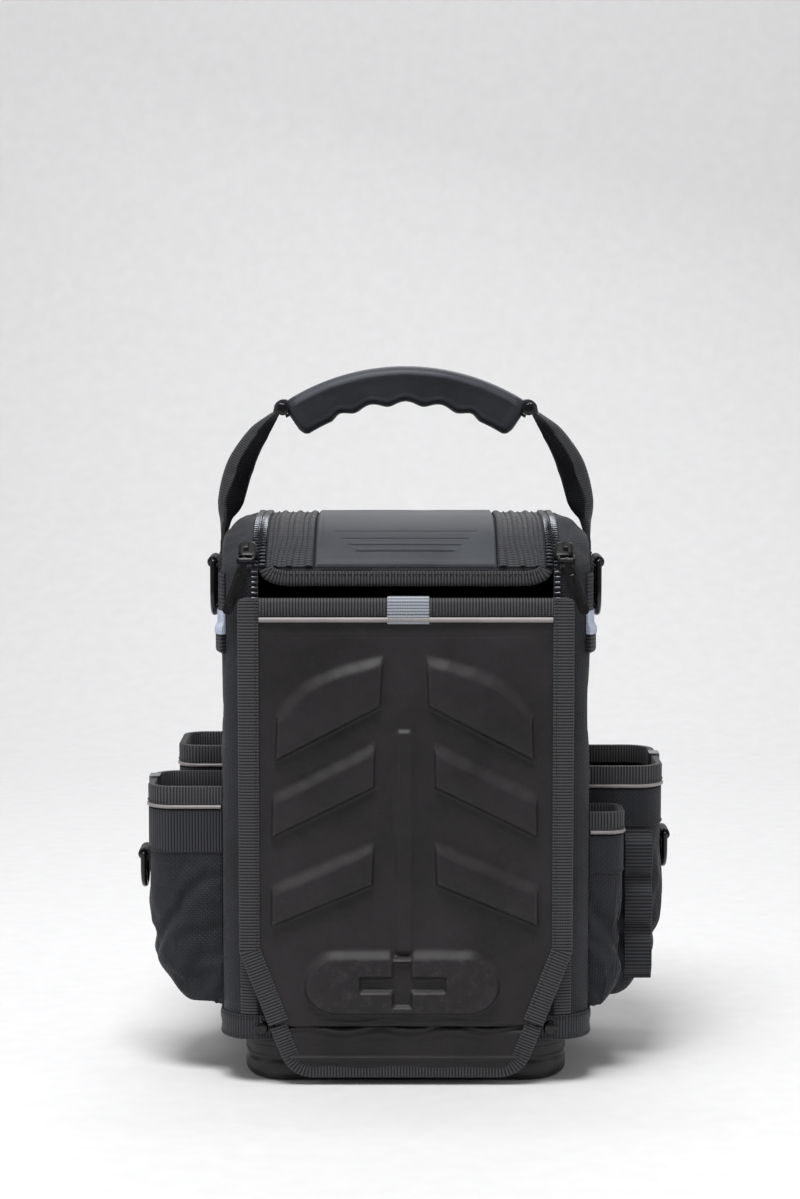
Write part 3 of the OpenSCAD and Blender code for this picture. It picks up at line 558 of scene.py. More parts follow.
def moulded(name, dark, light, grain_mm, rough, depth_mm=0.08, spec=0.5, scuff=None, rubbed=None):
    """Plastic, rubber or foam from a textured mould: a fine even grain, patchy tone and paler scuffs on high places.
    rubbed gives a height in metres, a colour and a y: what is lower and stands out past it is rubbed in patches."""
    mat, tree, shader = begin(name, {"Specular IOR Level": spec})
    place = object_place(tree)
    grain = noise(tree, place, 1000 / grain_mm, 3.0)
    tone = noise(tree, place, 16.0, 6.0, 0.65)
    colour = shades(tree, compute(tree, "MULTIPLY_ADD", grain, 0.3, tone), (0.45, dark), (0.85, light))
    if scuff:
        worn = remap(tree, add(tree, "ShaderNodeNewGeometry").outputs["Pointiness"], 0.52, 0.62, 0.0, 0.6)
        colour = mix_colours(tree, worn, colour, linear(scuff))
    if rubbed:
        height, pale, front = rubbed
        where = add(tree, "ShaderNodeSeparateXYZ", {0: place}).outputs
        low = remap(tree, where["Z"], height, height * 0.6, 0.0, 1.0)
        proud = remap(tree, where["Y"], front, front - 0.003, 0.0, 1.0)
        patch = remap(tree, noise(tree, place, 150.0, 8.0, 0.75), 0.5, 0.7, 0.0, 0.26)
        much = compute(tree, "MULTIPLY", compute(tree, "MULTIPLY", low, patch), proud)
        colour = mix_colours(tree, much, colour, linear(pale))
    tree.links.new(colour, shader.inputs["Base Color"])
    tree.links.new(remap(tree, tone, 0.3, 0.7, rough - 0.06, rough + 0.06), shader.inputs["Roughness"])
    relief(tree, shader, grain, depth_mm, 0.6)
    return mat


def metal(name, colour, rough, metallic=1.0, coat=0.0, wear_mm=3.0, spec=0.5):
    """Plated, polished or enamelled metal: a clear gloss broken up by faint handling marks."""
    mat, tree, shader = begin(name, {"Metallic": metallic, "Coat Weight": coat, "Specular IOR Level": spec})
    marks = noise(tree, object_place(tree), 1000 / wear_mm, 8.0, 0.7)
    tree.links.new(shades(tree, marks, (0.3, colour[0]), (0.7, colour[1])), shader.inputs["Base Color"])
    tree.links.new(remap(tree, marks, 0.3, 0.7, rough, rough + 0.14), shader.inputs["Roughness"])
    relief(tree, shader, marks, 0.04, 0.3)
    return mat


# Finishes already made, by name
FINISHES = {}


def finish(key):
    """The finish of that name, made the first time it is asked for."""
    if key not in FINISHES:
        FINISHES[key] = RECIPES[key]()
    return FINISHES[key]


RECIPES = {
    # Side walls and pockets: padded ballistic nylon, blue black
    "nylon": lambda: nylon_woven("ballistic_nylon_basket_woven", "111216", "2b2c32"),
    # Lining: thin plain woven polyester with almost no sheen
    "lining": lambda: nylon_woven("polyester_lining_plain_woven", "111113", "232428", 1.1, 0.05, 0.8),
    # Edge binding: black grosgrain with pale rib tops
    "binding": lambda: tape_woven("grosgrain_tape_shuttle_woven", "060607", "48484b"),
    # Load webbing: thicker, tighter nylon
    "webbing": lambda: tape_woven("nylon_webbing_loom_woven", "09090b", "3c3d42", 2.4),
    # The same webbing run level, so its ribs stand upright
    "band": lambda: tape_woven("nylon_webbing_loom_woven_level", "09090b", "3c3d42", 2.0, along=False),
    # Handle straps: softer, finer ribbed nylon
    "strap": lambda: tape_woven("nylon_strap_fine_woven", "121215", "36373b", 1.5),
    # Pull tab: silver grey polyester webbing
    "silver": lambda: tape_woven("silver_polyester_webbing_woven", "6b7078", "a2a7af", 2.0),
    # Sewing thread, bonded nylon
    "thread": lambda: moulded("bonded_nylon_thread_twisted", "18181a", "37373a", 0.8, 0.5, 0.05, 0.3),
    # Cross-linked EVA foam pressed in a grained mould: matt, warm charcoal, rubbed pale low down
    "foam": lambda: moulded("eva_foam_heat_pressed", "1a181a", "2b282a", 1.1, 0.5, 0.12, 0.27, "413e40",
                            (0.15, "585456", -0.105)),
    # Thermoplastic elastomer badge on the lid: slate, satin
    "lid_rubber": lambda: moulded("tpe_injection_moulded_slate", "26282d", "3a3d43", 0.9, 0.55, 0.06, 0.3, "4e5158"),
    # Overmoulded grip rubber
    "grip": lambda: moulded("tpe_overmoulded_grip", "17181c", "292b31", 1.0, 0.55, 0.1, 0.3, "3f4249"),
    # Top strip of the grip: the same rubber painted paler, a painted highlight where the overhead lamp falls on its
    # glossy top
    "grip_top": lambda: moulded("tpe_overmoulded_grip_top", "272930", "3c3f46", 1.0, 0.52, 0.08, 0.3, "52565e"),
    # Base tub: polypropylene with a spark eroded grain
    "tub": lambda: moulded("polypropylene_injection_moulded", "101011", "1f2022", 1.2, 0.48, 0.08, 0.4, "343537"),
    # Board in the divider, edge bound lining over it
    "board": lambda: nylon_woven("polyester_lining_over_board_woven", "141416", "292a2e", 1.3, 0.05, 0.75),
    # Zip chain: die cast zinc, black nickel plated
    "zip": lambda: metal("zinc_teeth_black_nickel_plated", ("303135", "5a5c61"), 0.24),
    # Rings, pulls and rivets: steel with gloss black enamel
    "enamel": lambda: metal("steel_gloss_black_enamelled", ("030304", "08080a"), 0.16, 0.0, 0.15, 6.0, 0.35),
    # Sliders: die cast zinc, black and satin
    "slider": lambda: metal("zinc_die_cast_black_satin", ("040405", "09090b"), 0.3, 0.0, 0.0, 6.0, 0.22),
    # Tape clips: spring steel, nickel plated
    "clip": lambda: metal("spring_steel_nickel_plated", ("5f6165", "85878b"), 0.3, wear_mm=12.0),
    # Piping: glass bead reflective film over cord, mid grey
    "piping": lambda: moulded("reflective_film_piping_laminated", "7d7878", "9b9595", 0.7, 0.42, 0.06, 0.5),
    # Bare patches: white coated label tape
    "patch": lambda: tape_woven("white_satin_tape_woven", "a7afc4", "ccd2e2", 0.9, sheen=0.0),
}


# ---------------------------------------------------------------- base and body


def mirrored(obj):
    """The piece turned over to the left side."""
    obj.data.transform(Matrix.Scale(-1, 4, (1, 0, 0)))
    obj.data.flip_normals()
    return obj


def build_tub():
    """The moulded tub: a tapered foot, a grooved wall, the flange under the fabric and a hollow inside."""
    levels = []
    for a in np.radians(np.linspace(0, 90, 7)):
        levels.append((7 - 7 * math.cos(a), 99 + 7 * math.sin(a), 81 + 7 * math.sin(a), 21 + 7 * math.sin(a)))
    # A shallow moulded groove runs round the wall below the flange
    for z, inset in ((11.5, 0), (12.6, 0.3), (13.6, 1.1), (15, 1.5), (16.4, 1.1), (17.4, 0.3), (18.5, 0), (23.2, 0),
                     (23.9, -1.2), (24.6, -1.9), (25.4, -2), (28.9, -2), (29.6, -1.6), (29.9, -0.8)):
        levels.append((z, 106 - inset, 88 - inset, 28 - inset))
    for z, w in ((30.05, 114.8), (30.5, 115.6), (45.6, 115.6), (46, 115), (45.8, 113.4), (33.4, 113.2), (33, 112.6)):
        levels.append((z, w, w - 25, w - 98))
    levels += [(32.8, 103, 85, 25), (31, 102.5, 84.5, 24.5), (4, 102.5, 84.5, 24.5), (3.1, 101.5, 83.5, 23.5)]
    tub = close_ends(loft("tub_moulding", levels, along_w=12, along_d=10, corner=10))
    dress(tub, "carrier", finish("tub"), "base_tub", 50)


def body_levels():
    """Plan sections of the body: upright walls, then the dome with its rounded long edges."""
    levels = [(z, HALF_W, HALF_D) for z in np.linspace(TUB_TOP, SHOULDER_Z, 63)]
    edge_z, edge_x = CREST - SHOULDER_R, HALF_W - SHOULDER_R
    for a in np.linspace(DOME_SWING, 0, 19)[1:]:
        z = DOME_Z + DOME_R * math.cos(a)
        width = HALF_W if z < edge_z else edge_x + math.sqrt(max(SHOULDER_R ** 2 - (z - edge_z) ** 2, 0))
        levels.append((z, width, DOME_Y + DOME_R * math.sin(a)))
    return [(z, w, d, max(min(PLAN_R, w - 96, d - 2), 3)) for z, w, d in levels]


def build_body(pressure, looseness):
    """The padded body with its mouth cut out, billowed between the seams."""
    body = loft("body_fabric", body_levels())
    with editing(body) as work:
        top = max(v.co.z for v in work.verts) - 1e-4
        bmesh.ops.holes_fill(work, edges=[e for e in work.edges if e.is_boundary and e.verts[0].co.z > top], sides=0)
        for spot, way in (((SEAM_X, 0, 0), (1, 0, 0)), ((-SEAM_X, 0, 0), (1, 0, 0)), ((0, 0, MOUTH_Z), (0, 0, 1)),
                          ((0, 0, HINGE_Z), (0, 0, 1))):
            bmesh.ops.bisect_plane(work, geom=work.verts[:] + work.edges[:] + work.faces[:], dist=1e-6,
                                   plane_co=Vector(spot) / 1000, plane_no=way)
        gone = []
        for face in work.faces:
            mid = face.calc_center_median() * 1000
            if abs(mid.x) < SEAM_X and mid.z > (MOUTH_Z if mid.y < 0 else HINGE_Z):
                gone.append(face)
        bmesh.ops.delete(work, geom=gone, context="FACES")
        bmesh.ops.remove_doubles(work, verts=work.verts, dist=2e-5)
        bmesh.ops.recalc_face_normals(work, faces=work.faces)
    x, y, z = read_vertices(body.data).T * 1000
    side, rear = np.abs(x) > HALF_W - 1, y > HALF_D - 1
    # Seams hold the cloth at the foot, front, mouth, hinge, strap anchors, ring tabs and pocket edges
    sewn = np.zeros(len(x))
    sewn[(z < BAND_TOP) | ((y < -80) & (np.abs(x) < HALF_W - 1))] = 1
    sewn[(np.abs(x) < SEAM_X + 6) & (z > MOUTH_Z - 20)] = 1
    sewn[rear & (z > HINGE_Z - 16)] = 1
    sewn[side & (z > 280) & (np.abs(y) < 24)] = 1
    sewn[side & (z > 280) & (np.abs(y - TAB_Y) < 15)] = 1
    for cy, length, _, _, rim, foot, way in POCKETS.values():
        for edge in (cy - length / 2, cy + length / 2):
            sewn[side & (x * way > 0) & (np.abs(y - edge) < 3) & (z > foot) & (z < rim)] = 1
    lowest = np.where(rear, -3.0, np.where(side, -3.5, -1.5))
    highest = np.where(rear, 4.5, np.where(side, 0.5, 1.0))
    settle_cloth(body, sewn, pressure, looseness, lowest, highest)
    modify(body, "SOLIDIFY", thickness=0.0034, offset=-1.0, material_offset=1)
    dress(body, "carrier", [finish("nylon"), finish("lining")], "body_shell", 60)


def belt(name, low, high, proud, ridges):
    """Woven band round the foot of the body, soft at both edges."""
    rows = [(low + 0.2, proud * 0.5), (low + 0.7, proud)]
    for i in range(1, 2 * ridges + 2):
        rows.append((low + 0.7 + (high - low - 1.4) * i / (2 * ridges + 2), proud - 0.3 * (i % 2)))
    rows += [(high - 0.7, proud), (high - 0.2, proud * 0.5)]
    levels = [(z, HALF_W + p, HALF_D + p, PLAN_R + p) for z, p in rows]
    return thicken(loft(name, levels, along_w=24, along_d=20), proud * 0.45)


def build_band():
    """Foot band with its stitches and rivets, the front corner tapes and the hinge welt."""
    band = belt("foot_band_webbing", TUB_TOP, BAND_TOP, 1.5, 3)
    dress(band, "carrier", finish("band"), "base_band")
    rows = []
    for z in (TUB_TOP + 2.2, BAND_TOP - 2.2):
        ring = plan_ring(HALF_W + 1.6, HALF_D + 1.6, PLAN_R + 1.6, along_w=24, along_d=20)
        ring = np.vstack([ring, ring[:1]])
        path = resample(np.column_stack([ring, np.full(len(ring), z)]), 3.4)
        rows.append(stitches("row", path, unit(path * [0.62, 1, 0])))
    dress(join("foot_band_stitching", rows), "carrier", finish("thread"))
    dome = [(4.3, 0), (4.5, 0.3), (4.3, 0.75), (3.5, 1.25), (2.3, 1.6), (1.0, 1.78)]
    rivets = []
    for s in (-1, 1):
        for t in (-1, 1):
            rivets.append(lathe("rivet", dome, (s * 94, t * 96.5, RIVET_Z), (0, t, 0)))
            rivets.append(lathe("rivet", dome, (s * 121.5, t * 55, RIVET_Z), (s, 0, 0)))
    dress(join("band_rivet_domes", rivets), "carrier", finish("enamel"), "band_rivets", 60)
    turn = np.radians(np.linspace(0, 24.5, 8))
    away = np.array([(0, -1.0)] + [(math.sin(a), -math.cos(a)) for a in turn])
    curve = np.vstack([[(96, -HALF_D)], away[1:] * PLAN_R + [CORNER_X, -CORNER_Y]])
    edges = []
    for s in (-1, 1):
        grid = []
        for i, z in enumerate(np.arange(BAND_TOP, 296, 1.0)):
            grid.append([(s * px, py, z) for px, py in curve + away * (1.15 + 0.16 * (i % 2))])
        edges.append(face_out(skin("edge", grid)))
    tape = thicken(join("corner_edge_tape", edges), 0.8)
    dress(tape, "carrier", finish("binding"), "corner_bindings")
    welt = ribbon("hinge_welt_tape", [(-94.7, HALF_D + 0.1, 324), (94.7, HALF_D + 0.1, 324)], (0, 0, 1), 12, 1.4)
    dress(welt, "carrier", finish("binding"), "rear_welt")


# ---------------------------------------------------------------- inside


def build_inside():
    """Divider board with its edge tape, and a row of tool sleeves on either side."""
    levels = []
    for z in np.concatenate([[33, 34], np.linspace(40, 288.5, 30), [289.6, 290]]):
        width = 112.9 if z < BAND_TOP + 1 else 115.8
        slim = 1.2 if z > 289.7 or z < 33.5 else 2.0
        levels.append((z, width, slim, slim * 0.9))
    divider = close_ends(loft("divider_board", levels, corner=2, along_w=30, along_d=1))
    for v in divider.data.vertices:
        v.co.y += 0.0009 * math.sin(v.co.x * 37) * math.sin(v.co.z * 21)
    dress(divider, "carrier", finish("board"), "centre_divider")
    half_fold = [(-2.6, -9), (-2.6, 0.3), (-1.6, 1.1)]
    fold = half_fold + [(-a, b) for a, b in half_fold[::-1]] + [(2, -9), (2, 0), (-2, 0), (-2, -9)]
    cap = sweep("divider_edge_tape", resample([(-115, 0, 290), (115, 0, 290)], 1.0), (0, 1, 0), fold, 0.03)
    dress(cap, "carrier", finish("binding"))
    half = 92
    for name, count, top, way in (("rear", 4, 222, 1), ("front", 3, 192, -1)):
        xx, zz = np.meshgrid(np.linspace(-half, half, count * 16 + 1), np.linspace(57, top, 26))
        fold = np.abs(np.sin(math.pi * (xx + half) / (2 * half / count))) ** 0.45
        depth = 1.2 + 14.4 * fold * smoothstep((zz - 55) / 7) - 1.2 * fold * smoothstep((zz - top + 30) / 60)
        depth += 0.5 * ripple(xx, zz, 38, 11 + count) * fold
        grid = np.stack([xx, way * (91 - depth), zz], 2)
        sleeve = thicken(face_out(skin(f"inner_sleeves_{name}", grid)), 1.6)
        dress(sleeve, "carrier", finish("lining"), f"inner_pockets_{name}")
        tape = sweep(f"sleeve_edge_tape_{name}", resample(grid[-1] + [0, 0, 0.2], 1.5), (0, 0, 1),
                     [(-8, -1), (0.6, -1.2), (1.2, 0), (0.6, 1.2), (-8, 1)], 0.08)
        dress(tape, "carrier", finish("binding"))


# ---------------------------------------------------------------- front panel


def outline_point(kind, t):
    """Point and inward direction on the right half of the panel outline. kind is an edge or a corner."""
    if kind == "foot":
        return (FOOT_X * t, PANEL_FOOT), (0, 1)
    if kind == "foot_corner":
        a = math.radians(-90 + 69 * t)
        return ((FOOT_X + FOOT_R * math.cos(a), FOOT_Z + FOOT_R * math.sin(a)), (-math.cos(a), -math.sin(a)))
    if kind == "slant":
        x0, z0 = FOOT_X + FOOT_R * math.cos(TAPER), FOOT_Z - FOOT_R * math.sin(TAPER)
        return (x0 + (PANEL_HW - x0) * t, z0 + (KNEE_Z - z0) * t), (-math.cos(TAPER), math.sin(TAPER))
    return (PANEL_HW, KNEE_Z + (PANEL_TOP - TOP_R - KNEE_Z) * t), (-1, 0)


def outline_run(kinds):
    """Points and inward directions along the right half of the outline, a millimetre apart."""
    pts, ins = [], []
    for kind in kinds:
        length = math.dist(outline_point(kind, 0)[0], outline_point(kind, 1)[0]) * (1.11 if "corner" in kind else 1)
        for t in np.linspace(0, 1, max(int(length), 2), endpoint=False):
            p, n = outline_point(kind, t)
            pts.append(p)
            ins.append(n)
    p, n = outline_point(kinds[-1], 1)
    return np.array(pts + [p]), np.array(ins + [n])


def full_outline(kinds, stop_z):
    """Outline from the left side round the foot to the right side, up to a height, with smoothed inward directions."""
    pts, ins = outline_run(kinds)
    pts, ins = pts[pts[:, 1] < stop_z], ins[pts[:, 1] < stop_z]
    pts, ins = np.vstack([(pts * [-1, 1])[::-1][:-1], pts]), np.vstack([(ins * [-1, 1])[::-1][:-1], ins])
    return pts, softened(ins, 3)


def bound_edge(name, pts, ins, front, back, width, rib=0.14):
    """Grosgrain folded over an edge in a front view: front and back are depths behind the front plane, as -y."""
    front, back, width = (np.broadcast_to(np.asarray(a, float), len(pts)) for a in (front, back, width))
    grid = []
    for i, ((px, pz), (nx, nz)) in enumerate(zip(pts, ins)):
        f, b, w = front[i], back[i], width[i]
        r = rib * (i % 2)
        section = [(w, f - 1.3), (w, f - 0.25), (w - 0.7, f + r), (w * 0.5, f + 0.12 + r), (2.6, f + r),
                   (1.0 - r, f - 0.6), (0.1 - r, f - 2.0), (0.1 - r, b + 1.6), (0.9, b + 0.5), (2.4, b), (w, b),
                   (w, b + 0.4)]
        grid.append([(px + nx * d, -y, pz + nz * d) for d, y in section])
    return close_ends(skin(name, grid, True))


def inside_outline(x, z, inset):
    """True where a point lies in the panel outline by at least that inset."""
    x = np.abs(x)
    slant = (x - PANEL_HW) * math.cos(TAPER) - (z - KNEE_Z) * math.sin(TAPER) < -inset
    foot = np.hypot(x - FOOT_X, z - FOOT_Z) < FOOT_R - inset
    low = (z > PANEL_FOOT + inset) & ((x < FOOT_X) | (z > FOOT_Z) | foot | (x - FOOT_X < (z - FOOT_Z) * -0.4))
    return (x < PANEL_HW - inset) & slant & low & (z < PANEL_TOP - inset)


def run_distance(x, z, points):
    """Distance to an open run of points in the front view."""
    best = np.full(x.shape, 1e9)
    for (ax, az), (bx, bz) in zip(points, points[1:]):
        ex, ez = bx - ax, bz - az
        t = np.clip(((x - ax) * ex + (z - az) * ez) / (ex * ex + ez * ez), 0, 1)
        best = np.minimum(best, np.hypot(x - ax - t * ex, z - az - t * ez))
    return best


def polygon_depth(x, z, corners):
    """Distance inwards from the outline of a polygon in the front view, negative outside."""
    loop = list(corners) + [corners[0]]
    best, inside = run_distance(x, z, loop), np.zeros(x.shape, bool)
    for (ax, az), (bx, bz) in zip(loop, loop[1:]):
        crosses = (az > z) != (bz > z)
        inside ^= crosses & (x < (bx - ax) * (z - az) / (1e-9 if bz == az else bz - az) + ax)
    return np.where(inside, best, -best)


# Corners of each pad of the left half, and how many of them run along its upper edge
PAD_ARC = [(-13, 286), (-30, 282.5), (-48, 277), (-60, 271.5), (-69, 266), (-78, 257.5), (-84, 249)]
CHEVRONS = [
    (PAD_ARC + [(-85.4, 213), (-15, 249.5)], 7),
    ([(-18.5, 230.5), (-87, 195.5), (-88, 163), (-19, 197)], 2),
    ([(-19, 166), (-88, 136), (-88.4, 105), (-20, 133.4)], 2),
]


def crown(t):
    """Section of a pressed pad from its edge inwards: steep at first, then rounding over to flat."""
    return 1 - (1 - np.clip(t, 0, 1)) ** 2.2


def pad_height(x, z):
    """Relief of the moulded pads over the foam sheet, in mm. Upper edges slope broadly, lower ones are short."""
    height = np.zeros(x.shape)
    for corners, top in CHEVRONS:
        for way in (1, -1):
            shifted = [(cx + (1.6 if way < 0 else 0), cz) for cx, cz in corners]
            depth = polygon_depth(x * way, z, shifted)
            slope = run_distance(x * way, z, shifted[:top])
            edge = np.minimum(smoothstep(depth / 3.0), smoothstep(slope / 11.0))
            height = np.maximum(height, (4.1 + 1.3 * crown(depth / 17)) * edge)
    run = np.hypot(np.maximum(np.abs(x + 1) - 3.0, 0), np.maximum(np.maximum(z - 232, 92 - z), 0))
    height = np.maximum(height, 2.6 * smoothstep(1 - run / 4.5))
    lumbar = 22.6 - np.hypot(np.maximum(np.abs(x + 2.5) - 42.5, 0), z - 70.5)
    pad = (4.6 + 0.8 * crown(lumbar / 18)) * smoothstep(lumbar / (3.2 + 6.0 * smoothstep((z - 60) / 26)))
    flat = np.minimum(28 - np.abs(x + 2), 5.0 - np.abs(z - 69))
    upright = np.minimum(6.4 - np.abs(x + 2.5), 15 - np.abs(z - 69))
    notch = np.minimum(6.2 - np.abs(x + 2.5), z - 86)
    cross = np.maximum(np.maximum(flat, upright), notch)
    pad -= 3.9 * smoothstep((cross + 1.5) / 3.6) * (lumbar > -2)
    return np.maximum(height, np.maximum(pad, 0))


def panel_face(x, z):
    """Depth of the front face of the foam, as -y: pads, one fine moulded line, and creases at the fold."""
    line = np.exp(-((z - 296) / 0.9) ** 2) * (np.abs(x) < 91) * 0.55
    near = np.exp(-np.abs(z - CREASE_Z) / 7)
    folds = 0.5 * np.sin(z * 1.9 + 2.2 * ripple(x, z, 46, 3)) * near + 0.6 * ripple(x, z * 2.6, 30, 8) * near
    worn = 0.28 * ripple(x, z, 52, 5) + 0.12 * ripple(x, z, 17, 6)
    return PANEL_FRONT + pad_height(x, z) - line + folds * 0.7 + worn * 0.8 - 0.35


def foam_sheet(name, z0, z1, depth_at, fine=1.0, thickness=0.0036):
    """Sheet with that relief on its face, up to an edge that the binding covers, and the same relief behind."""
    x = np.linspace(-PANEL_HW, PANEL_HW, int(2 * PANEL_HW / fine))
    z = np.linspace(z0, z1, int((z1 - z0) / fine))
    xx, zz = np.meshgrid(x, z)
    sheet = skin(name, np.stack([xx, -depth_at(xx, zz), zz], 2))
    keep = inside_outline(xx, zz, 4.0).ravel()
    with editing(sheet) as work:
        bmesh.ops.delete(work, geom=[v for v, kept in zip(work.verts, keep) if not kept], context="VERTS")
    return modify(sheet, "SOLIDIFY", thickness=thickness, offset=-1.0)


def apron_slope(z):
    """How far the apron leans back towards the tub, below the foot of the body."""
    return np.clip((29.7 - z) / 24.7, 0, 1) * 5


def apron_depth(x, z):
    """Depth of the front face of the apron: wrinkled under the fold, with one moulded ridge."""
    fold = np.exp(-(CREASE_Z - z) / 5)
    folds = 1.2 * np.sin(z * 1.3 + 3.0 * ripple(x, z * 0.5, 60, 21)) * fold
    folds += 0.7 * ripple(x * 0.6, z * 3, 26, 22) * fold
    ridge = 1.6 * np.exp(-((z - 19.5) / 1.3) ** 2)
    roll = -1.6 * smoothstep((z - 37.6) / 2.2)
    return 101.5 - apron_slope(z) + folds + ridge + roll + 0.35 * ripple(x, z, 45, 23) - 0.2


def sheet_depth(x, z):
    """Depth of the front face of the panel, rolled back where it meets the fold."""
    return panel_face(x, z) - 1.8 * smoothstep((42.4 - z) / 2.4)


def lining_depth(x, _):
    """Flat cloth that closes the back of the pressed foam."""
    return np.full(x.shape, PANEL_BACK + 0.75)


def build_front_panel():
    """The pressed foam sheet with its lining, and the apron below the fold."""
    sheet = foam_sheet("front_foam_sheet", CREASE_Z + 0.3, PANEL_TOP - 4, sheet_depth)
    dress(sheet, "front_panel", finish("foam"), ("front_sheet", "chevron_pads", "lumbar_pad"), 60)
    lining = foam_sheet("front_sheet_lining", CREASE_Z + 0.3, PANEL_TOP - 4, lining_depth, 2.0, 0.0008)
    dress(lining, "front_panel", finish("lining"))
    apron = foam_sheet("apron_foam_sheet", PANEL_FOOT + 4, CREASE_Z - 0.3, apron_depth)
    dress(apron, "carrier", finish("foam"), "apron", 60)


def build_panel_trim():
    """Bindings of the panel and the apron with their stitches, the reflective piping and the pull tab."""
    pts, ins = outline_run(("slant", "side"))
    pts, ins = pts[pts[:, 1] > CREASE_Z + 0.2], ins[pts[:, 1] > CREASE_Z + 0.2]
    pts = np.vstack([pts, arc(PANEL_HW - TOP_R, PANEL_TOP - TOP_R, TOP_R, 8, 88, 6)])
    ins = softened(np.vstack([ins, np.tile([-1.0, 0.0], (6, 1))]), 3)
    width = np.where(pts[:, 1] > KNEE_Z + 8, pts[:, 0] - 94.5, 13.5)
    tapes, rows = [], []
    for turn in (False, True):
        tape = bound_edge("side", pts, ins, BIND_FRONT, PANEL_BACK - 0.5, width)
        seam = np.column_stack([pts[:, 0] + ins[:, 0] * (width - 1.9), np.full(len(pts), -BIND_FRONT - 0.22),
                                pts[:, 1] + ins[:, 1] * (width - 1.9)])
        row = stitches("row", seam[seam[:, 2] < 318], TO_FRONT)
        tapes.append(mirrored(tape) if turn else tape)
        rows.append(mirrored(row) if turn else row)
    top = np.column_stack([np.linspace(94.7, -94.7, 190), np.full(190, PANEL_TOP)])
    tapes.append(bound_edge("top", top, np.tile([0.0, -1.0], (190, 1)), BIND_FRONT - 0.3, PANEL_BACK - 0.4, 11.4))
    rows.append(stitches("row", [(93, -BIND_FRONT + 0.1, 310.4), (-93, -BIND_FRONT + 0.1, 310.4)], TO_FRONT))
    dress(join("panel_edge_binding", tapes), "front_panel", finish("binding"), "panel_binding")
    dress(join("panel_binding_stitches", rows), "front_panel", finish("thread"))
    low, lin = full_outline(("foot", "foot_corner", "slant"), CREASE_Z - 0.2)
    slope = apron_slope(low[:, 1])
    foot = bound_edge("apron_edge_binding", low, lin, 102.7 - slope, 96.7 - slope, 11.5)
    dress(foot, "carrier", finish("binding"), "apron_binding")
    path = np.column_stack([low[:, 0] + lin[:, 0] * 9.4, slope - 102.92, low[:, 1] + lin[:, 1] * 9.4])
    dress(stitches("apron_binding_stitches", path, TO_FRONT, zigzag=0.55), "carrier", finish("thread"))
    piping = tube("panel_reflective_piping", [(-94.2, -103.9, 306.3), (94.2, -103.9, 306.3)], 1.75, 10, 1.2, 0.05)
    dress(piping, "front_panel", finish("piping"), "panel_piping")
    loop = rounded([(-105.0, 303.6), (-105.0, 321.2), (-97.1, 321.2), (-97.1, 304.5)], 3.4)
    path = resample([(1.5, y, z) for y, z in loop], 0.8)
    tab = sweep("pull_tab_webbing", path, (-1, 0, 0), tape_profile(27, 1.1), 0.1)
    dress(tab, "front_panel", finish("silver"), "pull_tab")
    row = stitches("pull_tab_stitches", [(-11, -106.3, 310), (14, -106.3, 310)], TO_FRONT, 2.6, 1.9, 0.3)
    dress(row, "front_panel", finish("thread"))


# ---------------------------------------------------------------- lid and zip


def lip_low(x):
    """Height of the lower edge of the lid's front lip, with its broadly rounded corners."""
    reach = 24.0
    d = np.clip(np.abs(x) - (94.7 - reach), 0, reach) / reach
    return SHOULDER_Z - 0.5 - 11.5 * np.sqrt(np.maximum(1 - d ** 2.6, 0))


def over_dome(x, rows, offset):
    """Grid of points over the dome for columns x and profile rows, raised by offset(x, row run)."""
    xx, ss = np.meshgrid(x, profile_run(rows))
    lift = offset(xx, ss)
    y = rows[:, 0][:, None] + rows[:, 2][:, None] * lift
    z = rows[:, 1][:, None] + rows[:, 3][:, None] * lift
    return np.stack([xx, y, z], 2)


def build_lid():
    """The padded lid cloth from its lip over the dome to the hinge."""
    rows = dome_profile(LIP_Z, 3.0, end_z=HINGE_Z + 0.6)
    x = np.linspace(-LID_HALF, LID_HALF, 64)
    grid = over_dome(x, rows, lambda xx, ss: -0.15 - 0.35 * (1 + ripple(xx, ss, 60, 31)) * (ss > 14))
    low = lip_low(x) + 0.6
    grid[:4, :, 2] = low[None] + (grid[4, :, 2] - low)[None] * np.linspace(0, 1, 5)[:4, None]
    cloth = face_out(skin("lid_fabric", grid))
    modify(cloth, "SOLIDIFY", thickness=0.0034, offset=-1.0, material_offset=1)
    dress(cloth, "lid", [finish("nylon"), finish("lining")], "lid_shell", 60)


def pad_groove(xx, ss, depth):
    """Cuts of the four engraved lines across the front of the pad, each shorter than the one below it."""
    cut = np.zeros(xx.shape)
    for angle, half in ((21.5, 46.5), (26, 42.5), (29.7, 37.5), (33, 32.5)):
        run = (DOME_SWING - math.radians(angle)) * DOME_R
        cut = np.maximum(cut, smoothstep((half - np.abs(xx)) / 1.5) * np.exp(-((ss - run) / 0.95) ** 4))
    return depth * cut


def build_lid_badge(groove_mm):
    """The moulded pad in the middle of the lid, with its rim line and four grooves."""
    rows = dome_profile(SHOULDER_Z, 0.75, end="crest")
    length = profile_run(rows)[-1]

    def lift(xx, ss):
        edge = np.minimum(np.minimum(PAD_HALF - np.abs(xx), ss), length - ss)
        body = 2.3 * smoothstep((edge + 0.4) / 2.2)
        rim = 0.25 * np.exp(-((edge - 3.6) / 0.7) ** 2)
        return body - rim - pad_groove(xx, ss, groove_mm) + 0.12 * ripple(xx, ss, 40, 33) * (body > 2)

    grid = over_dome(np.linspace(-PAD_HALF, PAD_HALF, 140), rows, lift)
    pad = thicken(face_out(skin("lid_badge_moulding", grid)), 1.2)
    dress(pad, "lid", finish("lid_rubber"), "lid_pad", 60)


